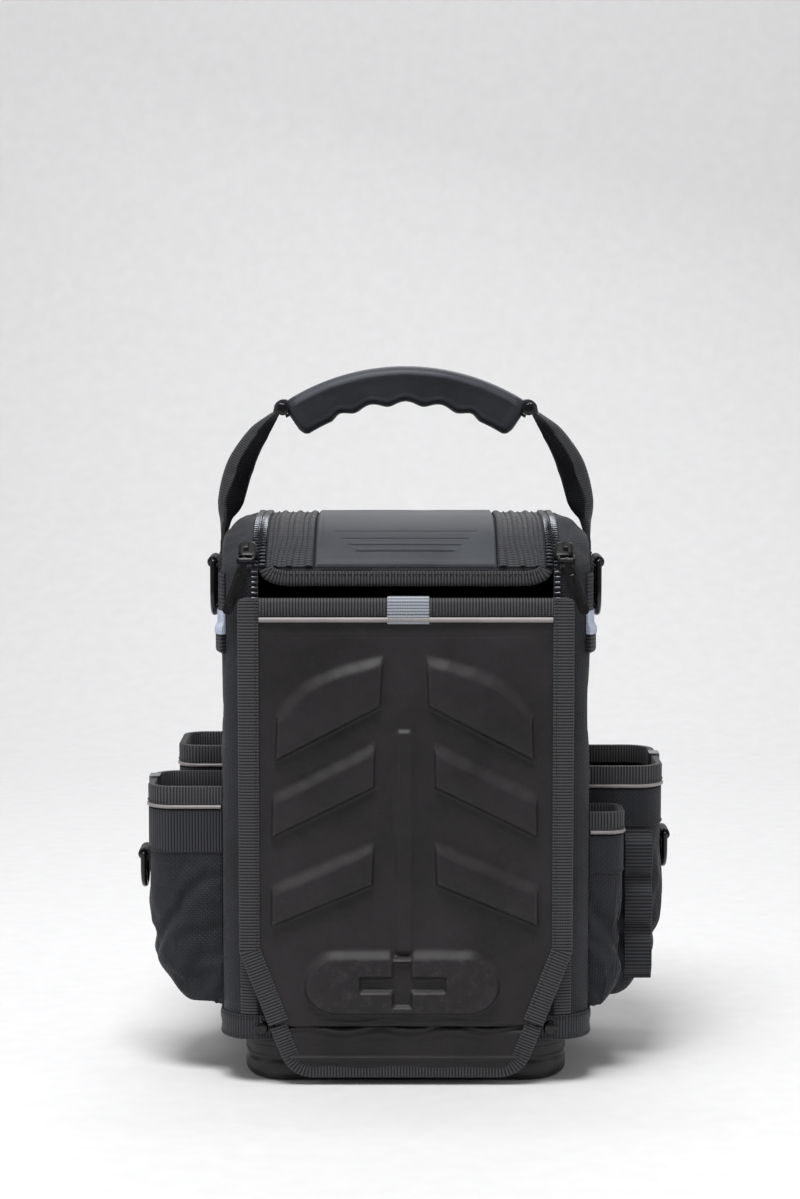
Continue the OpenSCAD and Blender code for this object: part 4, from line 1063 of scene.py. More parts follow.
def build_lid_welts():
    """Three corded welts with flat tape between them on either side of the pad, leaning outwards towards the lip."""
    run = dome_profile(SHOULDER_Z + 0.2, 1.0)
    run = run[run[:, 0] < 79]
    flare = 3.4 * (1 - smoothstep(profile_run(run) / 34))
    x = np.array([59.2, 59.8, 60.9, 62.4, 63.5, 64.1, 69.6, 70.2, 71.2, 72.4, 73.4, 74.0, 79.6, 80.2, 81.2, 82.4, 83.4,
                  84.0, 88.8, 89.6])
    cord = [1.3, 1.85, 1.85, 1.3]
    crown_mm = np.array([0.3] + cord + [0.6, 0.6] + cord + [0.65, 0.65] + cord + [0.6, 0.5, 0.1])
    welts, rows = [], []
    for s in (-1, 1):
        grid = over_dome(s * x, run, lambda xx, ss: crown_mm[None] + 0.12 * (np.arange(xx.shape[0]) % 2)[:, None])
        grid[..., 0] += s * flare[:, None] * np.sin(math.pi * (x - 59.2) / 30.4)[None]
        welts.append(face_out(skin("welt", grid)))
        line = run[2:-2]
        for at in (66.9, 76.8, 86.3):
            aside = at + flare[2:-2] * math.sin(math.pi * (at - 59.2) / 30.4)
            path = np.column_stack([s * aside, line[:, 0] + line[:, 2] * 0.95, line[:, 1] + line[:, 3] * 0.95])
            path = resample(path, 3.4)
            tilt = np.clip((path[:, 1] + DOME_Y) / DOME_R, -1, 0)
            rows.append(stitches("row", path, np.column_stack([np.zeros(len(path)), tilt, np.sqrt(1 - tilt ** 2)])))
    dress(thicken(join("lid_side_webbing", welts), 0.9), "lid", finish("webbing"), "lid_webbing")
    dress(join("lid_welt_stitches", rows), "lid", finish("thread"))


def build_lid_lip():
    """The binding along the lip of the lid, and its stitches."""
    x = np.linspace(-LID_HALF, LID_HALF, 230)
    low = lip_low(x)
    slope = np.gradient(low, x)
    ins = np.column_stack([-slope, np.ones_like(x)]) / np.sqrt(1 + slope ** 2)[:, None]
    lip = bound_edge("lid_lip_binding", np.column_stack([x, low]), ins, HALF_D + 1.15, HALF_D - WALL - 0.5, 9.8)
    dress(lip, "lid", finish("binding"), "lid_binding")
    flat = np.abs(x) < 84
    path = np.column_stack([x[flat], np.full(flat.sum(), -HALF_D - 1.4), low[flat] + 8])
    dress(stitches("lip_binding_stitches", path, TO_FRONT), "lid", finish("thread"))


def zip_teeth(name, x0, x1, rows, pitch, shift):
    """Row of chain teeth along the parting line. Each is a block with a waisted nose towards the joint."""
    points, faces = [], []
    run = profile_run(rows)
    way = 1 if x1 > x0 else -1
    sections = ((x0, 0.8, 0.1, 1.5), (x0 + way * 0.5, 1.05, 0.1, 2.2), (x0 + way * 2.6, 1.05, 0.1, 2.35),
                (x0 + way * 3.6, 0.75, 0.3, 2.1), (x1, 0.95, 0.5, 1.9))
    for at in np.arange(shift + 1, run[-1] - 1, pitch):
        y, z, ny, nz = (np.interp(at, run, rows[:, k]) for k in range(4))
        size = math.hypot(ny, nz)
        ny, nz = ny / size, nz / size
        faces += rings_of_faces(len(points), 6, len(sections))
        for x, half, low, high in sections:
            for t, h in ((-half, low), (half, low), (half, high - 0.35), (half * 0.6, high), (-half * 0.6, high),
                         (-half, high - 0.35)):
                points.append((x, y + nz * t + ny * h, z - ny * t + nz * h))
    return face_out(link_mesh(name, points, faces))


def build_zip(pitch):
    """Both halves of the zip: tapes and teeth along the mouth of the body and the edge of the lid."""
    near_lip = SHOULDER_Z + 4
    for body, start, end_z, inner, outer, joint, node in (
            ("carrier", MOUTH_Z + 1, HINGE_Z + 0.5, 95.1, 99.8, 95.2, "mouth_zip"),
            ("lid", SHOULDER_Z + 0.2, near_lip, 89.8, LID_HALF, 94.5, "lid_zip")):
        rows = dome_profile(start, 1.0, end_z=end_z)
        root, shift = outer - 0.3, pitch / 2
        if body == "lid":
            rows = rows[(rows[:, 0] < 0) | (rows[:, 1] > near_lip)]
            root, shift = inner + 0.3, 0
        tapes, teeth = [], []
        for s in (-1, 1):
            x = s * np.linspace(inner, outer, 5)
            grid = over_dome(x, rows, lambda xx, ss: 0.35 + 0.08 * ((ss / 1.2).astype(int) % 2))
            tapes.append(face_out(skin("tape", grid)))
            teeth.append(zip_teeth("teeth", s * root, s * joint, rows, pitch, shift))
        dress(join(f"zip_chain_{body}", teeth), body, finish("zip"), node, 30)
        dress(thicken(join(f"zip_tape_{body}", tapes), 0.3), body, finish("webbing"))


def on_slider(along, up):
    """Side view point on a slider, along its length and up from the zip."""
    tilt, size = math.radians(34), DOME_R + 2.5 + up
    sine, cosine = math.sin(tilt), math.cos(tilt)
    return (-DOME_Y - size * sine - along * cosine, DOME_Z + size * cosine - along * sine)


def prism(name, low, high):
    """Solid between two outlines with the same number of points."""
    count = len(low)
    faces = [tuple(range(count - 1, -1, -1)), tuple(range(count, 2 * count))]
    faces += [(i, (i + 1) % count, count + (i + 1) % count, count + i) for i in range(count)]
    return face_out(link_mesh(name, [tuple(p) for p in low + high], faces))


def build_zip_sliders():
    """The two parked sliders: domed bodies, each with a bridge and two ears that hold the pin of the pull."""
    pin_x, pin_y, pin_z = PULL_PIN
    sliders = []
    for s in (-1, 1):
        grid = []
        for t in np.linspace(-1, 1, 17):
            end = (1 - abs(t) ** 5) ** 0.4 * 0.94 + 0.06
            middle, half, top = 101.8 - 0.6 * t, (6.4 + 0.5 * t) * (0.45 + 0.55 * end), 0.5 + 3.3 * end
            section = [(middle + half * math.copysign(abs(math.cos(a)) ** 0.6, math.cos(a)),
                        0.1 + (top - 0.1) * math.sin(a) ** 0.6) for a in np.linspace(0, math.pi, 15)]
            grid.append([(s * x,) + on_slider(8 * t, up) for x, up in section])
        sliders.append(close_ends(skin("slider", grid, True)))
        bridge = [(s * pin_x,) + on_slider(along, up)
                  for along, up in ((-5.5, 3.2), (-4.6, 5.2), (-1, 5.7), (2, 5.3), (3.2, 3.3))]
        sliders.append(sweep("bridge", resample(rounded(bridge, 1.5), 0.6), (s, 0, 0),
                             [(-1.5, -0.5), (-1.5, 0.4), (1.5, 0.4), (1.5, -0.5)]))
        for ear in (4.9, -4.9):
            flat = arc(pin_y, pin_z, 2.75, 60, 318, 14) + [on_slider(6.4, 0.7), on_slider(6.4, 3.2)]
            low, high = ([(s * (pin_x + ear) + half, y, z) for y, z in flat] for half in (0.8, -0.8))
            sliders.append(prism("ear", low, high))
    body = round_edges(join("zip_slider_bodies", sliders), 0.25)
    dress(body, "carrier", finish("slider"), "zip_sliders", 35)


def build_zip_pulls():
    """The two long flat pulls, each with a raised middle and its pin."""
    pin_x, pin_y, pin_z = PULL_PIN
    outline = [(-2, 1.6), (2, 1.6), (2, -4.4), (3.4, -6.8), (3.4, -33)] + arc(0, -34, 3.4, -12, -168, 12)
    outline += [(-3.4, -33), (-3.4, -6.8), (-2, -4.4)]
    inner = [(x * 0.62, y) for x, y in rounded_box_outline(-3.4, 3.4, -31, -10, 1.6)]
    for s, name in ((-1, "left"), (1, "right")):
        place = (Matrix.Translation((s * pin_x, pin_y + 0.85, pin_z)) @ Matrix.Rotation(-s * math.radians(20), 4, "Y")
                 @ Matrix.Rotation(math.radians(90), 4, "X"))
        blade = plate("blade", outline, 1.7, place, 0.45)
        proud = plate("proud", inner, 2.0, Matrix.Translation((0, -0.13, 0)) @ place, 0.2)
        ends = [(s * (pin_x - 5.6), pin_y, pin_z), (s * (pin_x + 5.6), pin_y, pin_z)]
        pull = round_edges(join(f"zip_pull_blade_{name}", [blade, proud, tube("pin", ends, 1.5, 14, 1.5)]), 0.35)
        dress(pull, f"zip_pull_{name}", finish("enamel"), f"zip_pull_{name}", 35)


# ---------------------------------------------------------------- handle


def grip_grid():
    """Rounds of points along the arc of the grip: an overmoulded bar with finger swells below."""
    rows = []
    around, high = 56, 150.0
    for t in np.linspace(-1, 1, 105):
        angle = t * math.asin(79 / 143)
        degrees = math.degrees(angle)
        draw = math.sqrt(max(1 - (1 - min((1 - abs(t)) / 0.07, 1)) ** 2, 0.02))
        swell = max(3.3 * math.exp(-((degrees - bump) / 3.1) ** 2) for bump in (-16, -5.4, 5.4, 16))
        low = 123 + 3.6 - swell - 3.4 * smoothstep((abs(degrees) - 20) / 4)
        mid, half = (low + high) / 2, (high - low) / 2 * (0.55 + 0.45 * draw)
        deep = 14.5 * (0.5 + 0.5 * draw)
        row = []
        for k in range(around):
            a = 2 * math.pi * k / around
            y = deep * math.copysign(math.sqrt(abs(math.cos(a))), math.cos(a))
            r = half * math.copysign(math.sqrt(abs(math.sin(a))), math.sin(a))
            # The face plates are set in below a raised top strip
            inset = 1.1 * smoothstep((abs(y) - 11) / 2) * smoothstep((half - 6.5 - r) / 1.2)
            inset *= smoothstep((r + half - 4) / 2) * smoothstep((0.93 - abs(t)) / 0.05)
            y -= math.copysign(inset, y)
            row.append((math.sin(angle) * (mid + r), y, GRIP_Z + math.cos(angle) * (mid + r)))
        rows.append(row)
    return np.array(rows)


def build_grip():
    """The overmoulded grip with its top strip painted paler as a painted highlight, and the rods and caps at its ends.
    """
    grip = close_ends(skin("grip_overmould", grip_grid(), True))
    # Faces along the top of the arc take the paler copy of the grip rubber, a painted highlight
    top = []
    for poly in grip.data.polygons:
        mid = poly.center * 1000
        top.append(1 if math.hypot(mid.x, mid.z - GRIP_Z) > 144.4 and abs(mid.x) < 74 else 0)
    dress(grip, "handle", [finish("grip"), finish("grip_top")], ("grip_cover", "grip_core"), 55)
    grip.data.polygons.foreach_set("material_index", top)
    rods = []
    cap = [(3.9, -0.6), (4.1, 0), (3.6, 0.5), (1.6, 0.8)]
    for s in (-1, 1):
        rods.append(tube("rod", [(s * ROD_X, -13.6, ROD_Z), (s * ROD_X, 13.6, ROD_Z)], 3.95, 20, 1.2))
        for way in (-1, 1):
            rods.append(lathe("cap", cap, (s * ROD_X, way * 13.2, ROD_Z), (0, way, 0)))
    dress(join("grip_end_rods", rods), "handle", finish("enamel"), "grip_rods", 50)


def strap_grid():
    """The right strap, sewn flat to the side wall and curled into a channel where it rises to the end of the grip."""
    path = rounded([(123.1, 0, 308), (123.1, 0, 345), (122.3, 0, 366), (119, 0, 386), (113, 0, 404), (101.5, 0, 422),
                    (87.5, 0, 435)], 14, 8)
    over = [(x, 0, z) for x, z in arc(ROD_X, ROD_Z, 5.3, 20, 250, 26)]
    path = np.vstack([resample(path, 1.2), over])
    ahead = heading(path)
    out = np.column_stack([ahead[:, 2], np.zeros(len(path)), -ahead[:, 0]])
    height = path[:, 2].copy()
    height[-len(over):] = 470
    # Half width, curl in radians and turn about the strap's own line, by height
    half = np.interp(height, [340, 366, 400, 424, 437, 470], [19, 19.2, 18, 13.5, 10.0, 9.8])
    curl = np.interp(height, [350, 362, 371, 395, 422, 436, 470], [0.02, 0.35, 1.0, 1.8, 1.5, 0.3, 0.02])
    turn = np.radians(np.interp(height, [352, 364, 376, 402, 424, 437, 470], [0, 4, 22, 30, 22, 0, 0]))
    grid = []
    across = np.linspace(-1, 1, 33)
    for i, (p, o) in enumerate(zip(path, out)):
        bend = across * curl[i]
        y, dip = half[i] / curl[i] * np.sin(bend), half[i] / curl[i] * (1 - np.cos(bend))
        dip = dip - 0.38 * dip.max()
        sine, cosine = math.sin(turn[i]), math.cos(turn[i])
        loop = []
        for way, order in ((0.95 + 0.05 * (i % 2), 1), (-0.95, -1)):
            yy, dd = (y + way * np.sin(bend))[::order], (dip - way * np.cos(bend))[::order]
            loop += [p + np.array([0, a, 0]) - o * b for a, b in zip(yy * cosine - dd * sine, dd * cosine + yy * sine)]
        grid.append(loop)
    return np.array(grid)


def build_straps():
    """Both straps with their stitches, bending where they leave the side walls."""
    for s, name in ((1, "right"), (-1, "left")):
        strap = close_ends(skin(f"handle_strap_{name}", strap_grid(), True))
        rows = [stitches("row", [(124.3, y, 342), (124.3, y, 309)], (1, 0, 0), *TACK) for y in (-15.5, 15.5, -9.5, 9.5)]
        thread = join(f"handle_strap_stitches_{name}", rows)
        if s < 0:
            mirrored(strap)
            mirrored(thread)
        dress(strap, None, finish("strap"), f"strap_{name}", 50)
        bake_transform(strap)
        dress(thread, "carrier", finish("thread"))


# ---------------------------------------------------------------- side fittings


def corner_wrap(name, levels, front=32.0, rear=-49.4):
    """Cloth strip on the side wall that turns round the front corner, from (z, height over the wall) levels."""
    angles = np.radians(np.linspace(0, front, 9))
    tip = angles[-1] + 0.6 / 22

    def on_corner(a, lift):
        return CORNER_X + (PLAN_R + lift) * math.cos(a), -CORNER_Y - (PLAN_R + lift) * math.sin(a)

    grid = []
    for i, (z, lift) in enumerate(levels):
        lift += 0.12 * (i % 2)
        outline = [(HALF_W + lift, y) for y in np.linspace(rear, -CORNER_Y, 12)[:-1]]
        outline += [on_corner(a, lift) for a in angles] + [on_corner(tip, lift * k) for k in (0.8, 0.4)]
        outline += [on_corner(a, 0.15) for a in angles[::-1]]
        outline += [(HALF_W + 0.15, y) for y in np.linspace(-CORNER_Y, rear, 12)[1:]]
        grid.append([(x, y, z) for x, y in outline])
    return close_ends(skin(name, grid, True))


def ring_tab(name, stem, centre, y, half):
    """Webbing on the side wall that loops round the bar of a ring."""
    side = rounded(stem + arc(*centre, 3.25, 165, -150, 22), 1.0, 2)
    edge = [(-half, -0.65), (-half, 0.3), (0.6 - half, 0.7)]
    path = resample([(x, y, z) for x, z in side], 0.9)
    return sweep(name, path, (0, 1, 0), edge + [(-a, b) for a, b in edge[::-1]], 0.1)


def build_side_fittings():
    """Strap anchors with their boxed crosses, ring tabs and bare patches on both side walls."""
    def rise(z, start, run):
        return smoothstep((z - start) / run)

    tape = [(z, 0.4 + 1.4 * min(rise(z, 281, 4), rise(-z, -337, 4)) + 1.9 * rise(-z, -303, 5) * rise(z, 281, 3))
            for z in np.arange(282.5, 335.5, 0.9)]
    label = [(z, 2.5 + 1.8 * rise(-z, -303, 5)) for z in np.arange(295, 311, 0.8)]
    for s, name in ((1, "right"), (-1, "left")):
        anchor = sweep(f"strap_anchor_{name}", resample([(120, 0, 284.3), (120, 0, 341.6)], 1.0), (0, 1, 0),
                       tape_profile(43.6, 1.3), 0.1)
        box = []
        for a, b in (((-19, 287), (19, 287)), ((-19, 304), (19, 304)), ((-19, 287), (-19, 304)), ((19, 287), (19, 304)),
                     ((-19, 287), (19, 304)), ((-19, 304), (19, 287))):
            box.append(stitches("row", [(121.65, *a), (121.65, *b)], (1, 0, 0), *TACK))
        cross = join(f"anchor_box_stitches_{name}", box)
        stem = [(120.8, 286), (120.8, 334), (121.6, 339.5)]
        tab = ring_tab(f"ring_tab_webbing_{name}", stem, (125, 341), TAB_Y, 12.4)
        row = stitches(f"ring_tab_stitches_{name}", [(122.0, -84, 314), (122.0, -51, 314)], (1, 0, 0), 2.8, 1.9, 0.3)
        wrap = corner_wrap(f"ring_tab_tape_{name}", tape)
        patch = corner_wrap(f"bare_patch_{name}", label, 33.2)
        if s < 0:
            for part in (anchor, cross, tab, row, patch, wrap):
                mirrored(part)
        dress(anchor, "carrier", finish("webbing"), "strap_anchors" if s > 0 else ())
        dress(cross, "carrier", finish("thread"))
        dress(tab, "carrier", finish("webbing"), f"ring_tab_{name}")
        dress(row, "carrier", finish("thread"))
        dress(patch, "carrier", finish("patch"), "side_patches" if s > 0 else ())
        dress(wrap, "carrier", finish("webbing"))


# ---------------------------------------------------------------- pockets


def pocket_run(length, reach, radius, step, wall_gap=0.0):
    """Plan of a pocket on the right side, from the wall round the front to the wall: points and outward directions."""
    half, start, bend_x = length / 2, HALF_W + wall_gap, HALF_W + reach - radius
    bend_steps, leg_steps = max(int(radius * 1.57 / step), 5), max(int((reach - radius) / step), 2)
    pts = [(x, -half) for x in np.linspace(start, bend_x, leg_steps, endpoint=False)]
    away = [(0, -1)] * len(pts)
    for a in np.radians(np.linspace(-90, 0, bend_steps, endpoint=False)):
        pts.append((bend_x + radius * math.cos(a), -half + radius + radius * math.sin(a)))
        away.append((math.cos(a), math.sin(a)))
    for y in np.linspace(-half + radius, half - radius, max(int((length - 2 * radius) / step), 2), endpoint=False):
        pts.append((HALF_W + reach, y))
        away.append((1, 0))
    for a in np.radians(np.linspace(0, 90, bend_steps, endpoint=False)):
        pts.append((bend_x + radius * math.cos(a), half - radius + radius * math.sin(a)))
        away.append((math.cos(a), math.sin(a)))
    for x in np.linspace(bend_x, start, leg_steps + 1):
        pts.append((x, half))
        away.append((0, 1))
    return np.array(pts), softened(away, 2)


def pouch_profile(reach, foot, knee, sag, step):
    """Side view of a pocket's lower corner, as reach and height, bellied out from the straight cut by sag."""
    lean = math.atan2(knee - foot, reach * 0.65)
    sine, cosine = math.sin(lean), math.cos(lean)
    out = []
    for t in np.linspace(0, 1, max(int(math.hypot(knee - foot, reach * 0.65) / step), 6), endpoint=False):
        belly = sag * float(smoothstep((t + 0.3) / 0.42) * smoothstep((1.03 - t) / 0.4))
        out.append((reach * (0.35 + 0.65 * t) + belly * sine, foot + (knee - foot) * t - belly * cosine))
    return out


def build_pocket(name, pressure, looseness):
    """One pouch with its bellied lower corner, wrinkled below the band and sewn down along its edges."""
    cy, length, reach, radius, rim, foot, way = POCKETS[name]
    knee = foot + 0.9 * reach
    step, count = 3.2, 90
    profile = pouch_profile(reach, foot, knee, SAGS[name], step)
    profile += [(reach, z) for z in np.linspace(knee, rim - 0.6, int((rim - knee) / step))]
    near, low = profile[0]
    profile = [(max(near * part, 0.4), low + 0.5 - 0.5 * part) for part in np.linspace(0.02, 1, 7)[:-1]] + profile
    rows = []
    for i, (size, z) in enumerate(profile):
        run, away = pocket_run(length, size, min(radius, size * 0.5), step)
        far = distance_along(run)
        at = np.linspace(0, far[-1], count)
        fade = smoothstep(np.minimum(at, far[-1] - at) / 14) * smoothstep((rim - 50 - z) / 18) * min(i / 7, 1)
        crease = np.exp(-(((z - foot) * 0.8 + (at - far[-1] * 0.3) - 30) / 5.0) ** 2)
        fold = fade * (1.1 * ripple(at, z * 0.7, 44, length) + 0.5 * ripple(at, z, 19, length + 1) - 1.6 * crease)
        x, y, ax, ay = (np.interp(at, far, v) for v in (run[:, 0], run[:, 1], away[:, 0], away[:, 1]))
        rows.append(np.column_stack([x + ax * fold, y + ay * fold + cy, np.full(count, z)]))
    rows = np.array(rows)
    for _ in range(2):
        rows[1:-12, 1:-1] = (rows[:-13, 1:-1] + 2 * rows[1:-12, 1:-1] + rows[2:-11, 1:-1]) / 4
    pouch = skin(f"{name}_fabric", rows)
    z = read_vertices(pouch.data)[:, 2] * 1000
    col = np.tile(np.arange(count), len(rows))
    sewn = np.zeros(len(z))
    sewn[(col < 1) | (col > count - 2) | (np.arange(len(z)) < count)] = 1
    sewn = np.round(np.maximum(sewn, smoothstep((z - rim + 52) / 10)), 2)
    settle_cloth(pouch, sewn, pressure, looseness, -3.5, 1.5)
    if way < 0:
        mirrored(pouch)
    modify(pouch, "SOLIDIFY", thickness=0.0021, offset=-1.0)
    modify(pouch, "SUBSURF", levels=1, render_levels=1)
    dress(pouch, "carrier", finish("nylon"), name, 70)


def pocket_tapes():
    """Rim bindings, reflective piping and woven bands of all four pockets."""
    bindings, pipings, bands, panels, rows = [], [], [], [], []
    fold = [(1.0, -11), (1.05, 0.2), (0.5, 0.95), (-3.0, 0.95), (-3.55, 0.2), (-3.5, -11), (-2.9, -11), (-2.9, -0.4),
            (0.1, -0.4), (0.1, -11)]
    for name, (cy, length, reach, radius, rim, _, way) in POCKETS.items():
        run, away = pocket_run(length, reach, radius, 1.0, 0.2)
        side = np.column_stack([away, np.zeros(len(away))])
        run = np.column_stack([run[:, 0], run[:, 1] + cy, np.zeros(len(run))])
        grid = []
        for i, (p, o) in enumerate(zip(run + [0, 0, rim], side)):
            proud = 0.14 * (i % 2)
            grid.append([p + o * (a + (proud if a > 0.3 else 0)) + np.array([0, 0, b + (proud if b > 0.3 else 0)])
                         for a, b in fold])
        made = [(close_ends(skin("rim", grid, True)), bindings)]
        cord = (run + side * 0.9 + [0, 0, rim - 12.3])[1:-1]
        made.append((tube("piping", cord, 1.25, 8, 1.2, 0.05), pipings))
        depth = 26 if way > 0 else (29 if "front" in name else 25)
        low = rim - 13.8 - depth
        upright = 0.22 * (np.arange(len(run)) % 2)[:, None] if way < 0 else 0
        levels = []
        for rise, proud in ((0, 0.1), (0.5, 0.7), (depth * 0.5, 0.75), (depth - 0.9, 0.7), (depth - 0.4, 0.1)):
            levels.append(run + side * (proud + upright * (proud > 0.3)) + [0, 0, low + rise])
        made.append((skin("band", levels), bands if way < 0 else panels))
        made.append((stitches("row", (run + side + [0, 0, low + 1.8])[3:-3], (1, 0, 0)), rows))
        made.append((stitches("row", (run + side * 1.25 + [0, 0, rim - 9.4])[3:-3], side[len(side) // 2]), rows))
        for part, group in made:
            if way < 0:
                mirrored(part)
            group.append(part)
    dress(join("pocket_rim_bindings", bindings), "carrier", finish("binding"), "rim_bindings")
    dress(join("pocket_reflective_pipings", pipings), "carrier", finish("piping"), "pocket_pipings")
    dress(thicken(join("pocket_ribbed_bands", bands), 0.45), "carrier", finish("band"), "pocket_bands")
    dress(thicken(join("pocket_upper_panels", panels), 0.45), "carrier", finish("nylon"))
    dress(join("pocket_rim_stitches", rows), "carrier", finish("thread"))


def build_pocket_fittings():
    """Tool loops beside the rear pocket on the right, and the webbing tabs of the two small rings."""
    cy, length, _, _, rim, _, _ = POCKETS["pocket_right_rear"]
    face, top, pitch, x0 = cy - length / 2, rim - 41, 34, HALF_W + 23 + 3.5
    points = []
    for i in range(3):
        points += [(face - out, top - pitch * i - down) for out, down in (
            (0.5, 0.5), (1.0, 4), (6.1, 9), (6.3, 17), (6.1, 25), (1.0, 30.5), (0.5, 33.5))]
    path = resample([(x0 + 9.4, y, z) for y, z in rounded(points, 2.2, 3)], 0.9)
    loops = sweep("tool_loop_webbing", path, (-1, 0, 0), tape_profile(18.6, 1.2), 0.14)
    dress(loops, "carrier", finish("webbing"), "tool_loops")
    tacks = []
    for i, lift in enumerate((-2.5, 1.5, 1.5, 2.5)):
        for dz in (-0.8, 0.8):
            z = top - pitch * i + lift + dz
            ends = [(x0 + 1.5, face - 1.9, z), (x0 + 17.0, face - 1.9, z)]
            tacks.append(stitches("row", ends, TO_FRONT, 2.2, 1.8, 0.32))
    dress(join("tool_loop_bar_tacks", tacks), "carrier", finish("thread"))
    tabs = []
    for name, z in (("pocket_left_front", 144), ("pocket_right_rear", 147)):
        cy, _, reach, _, _, _, way = POCKETS[name]
        x = HALF_W + reach
        tab = ring_tab("tab", [(x + 0.8, z - 12), (x + 0.8, z - 4), (x + 1.6, z - 1.4)], (x + 5, z), cy, 10.8)
        tabs.append(mirrored(tab) if way < 0 else tab)
    dress(join("pocket_ring_tabs", tabs), "carrier", finish("webbing"), "pocket_ring_loops")


def finish_cad_nodes():
    """Rings and clips keep the frame's own shapes and get their real finishes; the clips also get rounded edges."""
    for name in ("d_ring_left", "d_ring_right", "pocket_ring_left", "pocket_ring_right", "tape_clips"):
        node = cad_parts[name]
        node.data.materials.clear()
        node.data.materials.append(finish("clip" if name == "tape_clips" else "enamel"))
        if name == "tape_clips":
            round_edges(node, 0.4, 3)


# ---------------------------------------------------------------- stage


def paper_white():
    """Matt seamless background paper, pale grey, that takes the shadow."""
    mat, tree, shader = begin("seamless_paper_matt", {"Roughness": 0.9, "Specular IOR Level": 0.1})
    fibre = noise(tree, object_place(tree), 60.0, 4.0)
    tree.links.new(shades(tree, fibre, (0.3, "e0e0e1"), (0.7, "e4e4e5")), shader.inputs["Base Color"])
    return mat


def build_stage(key_watts, fill_watts):
    """Floor and backdrop of one sheet of paper, five softboxes, the world and the camera."""
    bend = np.linspace(0.12, 1.57, 10)
    depth = np.concatenate([np.linspace(-2.4, 1.2, 8), 1.2 + 0.9 * np.sin(bend), [2.1, 2.1]])
    height = np.concatenate([np.zeros(8), 0.9 - 0.9 * np.cos(bend), [2.0, 3.2]])
    grid = [[(x, y * 1000, z * 1000) for x in np.linspace(-3000, 3000, 9)] for y, z in zip(depth, height)]
    floor = skin("seamless_paper_floor", grid)
    dress(floor, None, paper_white())
    scene = bpy.context.scene
    world = bpy.data.worlds.new("soft_studio")
    scene.world = world
    world.use_nodes = True
    world.node_tree.nodes.clear()
    glow = add(world.node_tree, "ShaderNodeBackground", {"Color": (1, 1, 1, 1), "Strength": 0.24})
    add(world.node_tree, "ShaderNodeOutputWorld", {"Surface": glow.outputs[0]})
    for name, place, target, wide, tall, watts in (
            ("overhead_softbox", (-0.2, -0.75, 1.95), (0.0, 0.0, 0.25), 0.9, 0.6, key_watts),
            ("left_softbox", (-1.8, -0.7, 0.9), (0.0, 0.0, 0.25), 0.7, 1.2, fill_watts),
            ("right_softbox", (1.8, -0.6, 0.8), (0.0, 0.0, 0.25), 0.7, 1.2, fill_watts),
            ("rear_softbox", (0.3, 1.6, 1.4), (0.0, 0.0, 0.3), 1.2, 0.9, fill_watts * 1.4),
            ("backdrop_softbox", (0.0, 0.6, 2.5), (0.0, 1.9, 0.8), 2.4, 0.5, key_watts * 0.4)):
        light = bpy.data.lights.new(name, "AREA")
        light.shape, light.size, light.size_y, light.energy = "RECTANGLE", wide, tall, watts
        lamp = link_object(name, light)
        lamp.location = place
        lamp.rotation_euler = (Vector(target) - Vector(place)).to_track_quat("-Z", "Y").to_euler()
    lens = bpy.data.cameras.new("camera")
    lens.lens, lens.sensor_fit, lens.sensor_height, lens.sensor_width = 85.0, "VERTICAL", 36.0, 36.0
    camera = link_object("camera", lens)
    camera.location = (-0.0038, -1.905, 0.496)
    camera.rotation_euler = (math.radians(90 - 5.6), 0, 0)
    scene.camera = camera
    scene.view_settings.view_transform = "Standard"


# ---------------------------------------------------------------- add-on


class CaddyFabric(bpy.types.PropertyGroup):
    """How the sewn pieces sit."""

    pressure: bpy.props.FloatProperty(name="Billow", description="How hard the fabric is pushed out from inside",
                                      default=1.6, min=0, max=10)
    looseness: bpy.props.FloatProperty(name="Looseness", description="How much larger the cloth is cut than its frame",
                                       default=0.03, min=0, max=0.1, subtype="FACTOR")


class CaddyMoulding(bpy.types.PropertyGroup):
    """Moulded and metal details."""

    groove: bpy.props.FloatProperty(name="Lid groove depth", description="Depth of the engraved lines on the lid pad",
                                    default=0.0016, min=0, max=0.002, unit="LENGTH")
    tooth_pitch: bpy.props.FloatProperty(name="Zip tooth pitch",
                                         description="Distance between the teeth on one half of the zip",
                                         default=0.0034, min=0.0024, max=0.005, unit="LENGTH")


class CaddyStage(bpy.types.PropertyGroup):
    """Lamps of the studio."""

    key: bpy.props.FloatProperty(name="Overhead lamp", description="Power of the overhead softbox",
                                 default=38.0, min=0, unit="POWER")
    fill: bpy.props.FloatProperty(name="Side lamps", description="Power of each side softbox",
                                  default=5.0, min=0, unit="POWER")


class CADDY_OT_tub(bpy.types.Operator):
    """Moulds the base tub"""
    bl_idname = "caddy.tub"
    bl_label = "Base Tub"

    def execute(self, context):
        build_tub()
        return {"FINISHED"}


class CADDY_OT_body(bpy.types.Operator):
    """Sews the fabric body, its foot band, rivets, edge tapes and hinge welt"""
    bl_idname = "caddy.body"
    bl_label = "Fabric Body"

    def execute(self, context):
        fabric = context.scene.caddy_fabric
        build_body(fabric.pressure, fabric.looseness)
        build_band()
        return {"FINISHED"}


class CADDY_OT_inside(bpy.types.Operator):
    """Fits the divider and the inner tool sleeves"""
    bl_idname = "caddy.inside"
    bl_label = "Divider and Sleeves"

    def execute(self, context):
        build_inside()
        return {"FINISHED"}


class CADDY_OT_front_panel(bpy.types.Operator):
    """Presses the foam front panel and apron, and sews their binding, piping and tab"""
    bl_idname = "caddy.front_panel"
    bl_label = "Front Panel"

    def execute(self, context):
        build_front_panel()
        build_panel_trim()
        return {"FINISHED"}


class CADDY_OT_lid(bpy.types.Operator):
    """Builds the domed lid with its moulded pad, webbing and lip binding"""
    bl_idname = "caddy.lid"
    bl_label = "Lid"

    def execute(self, context):
        build_lid()
        build_lid_badge(context.scene.caddy_moulding.groove * 1000)
        build_lid_welts()
        build_lid_lip()
        return {"FINISHED"}


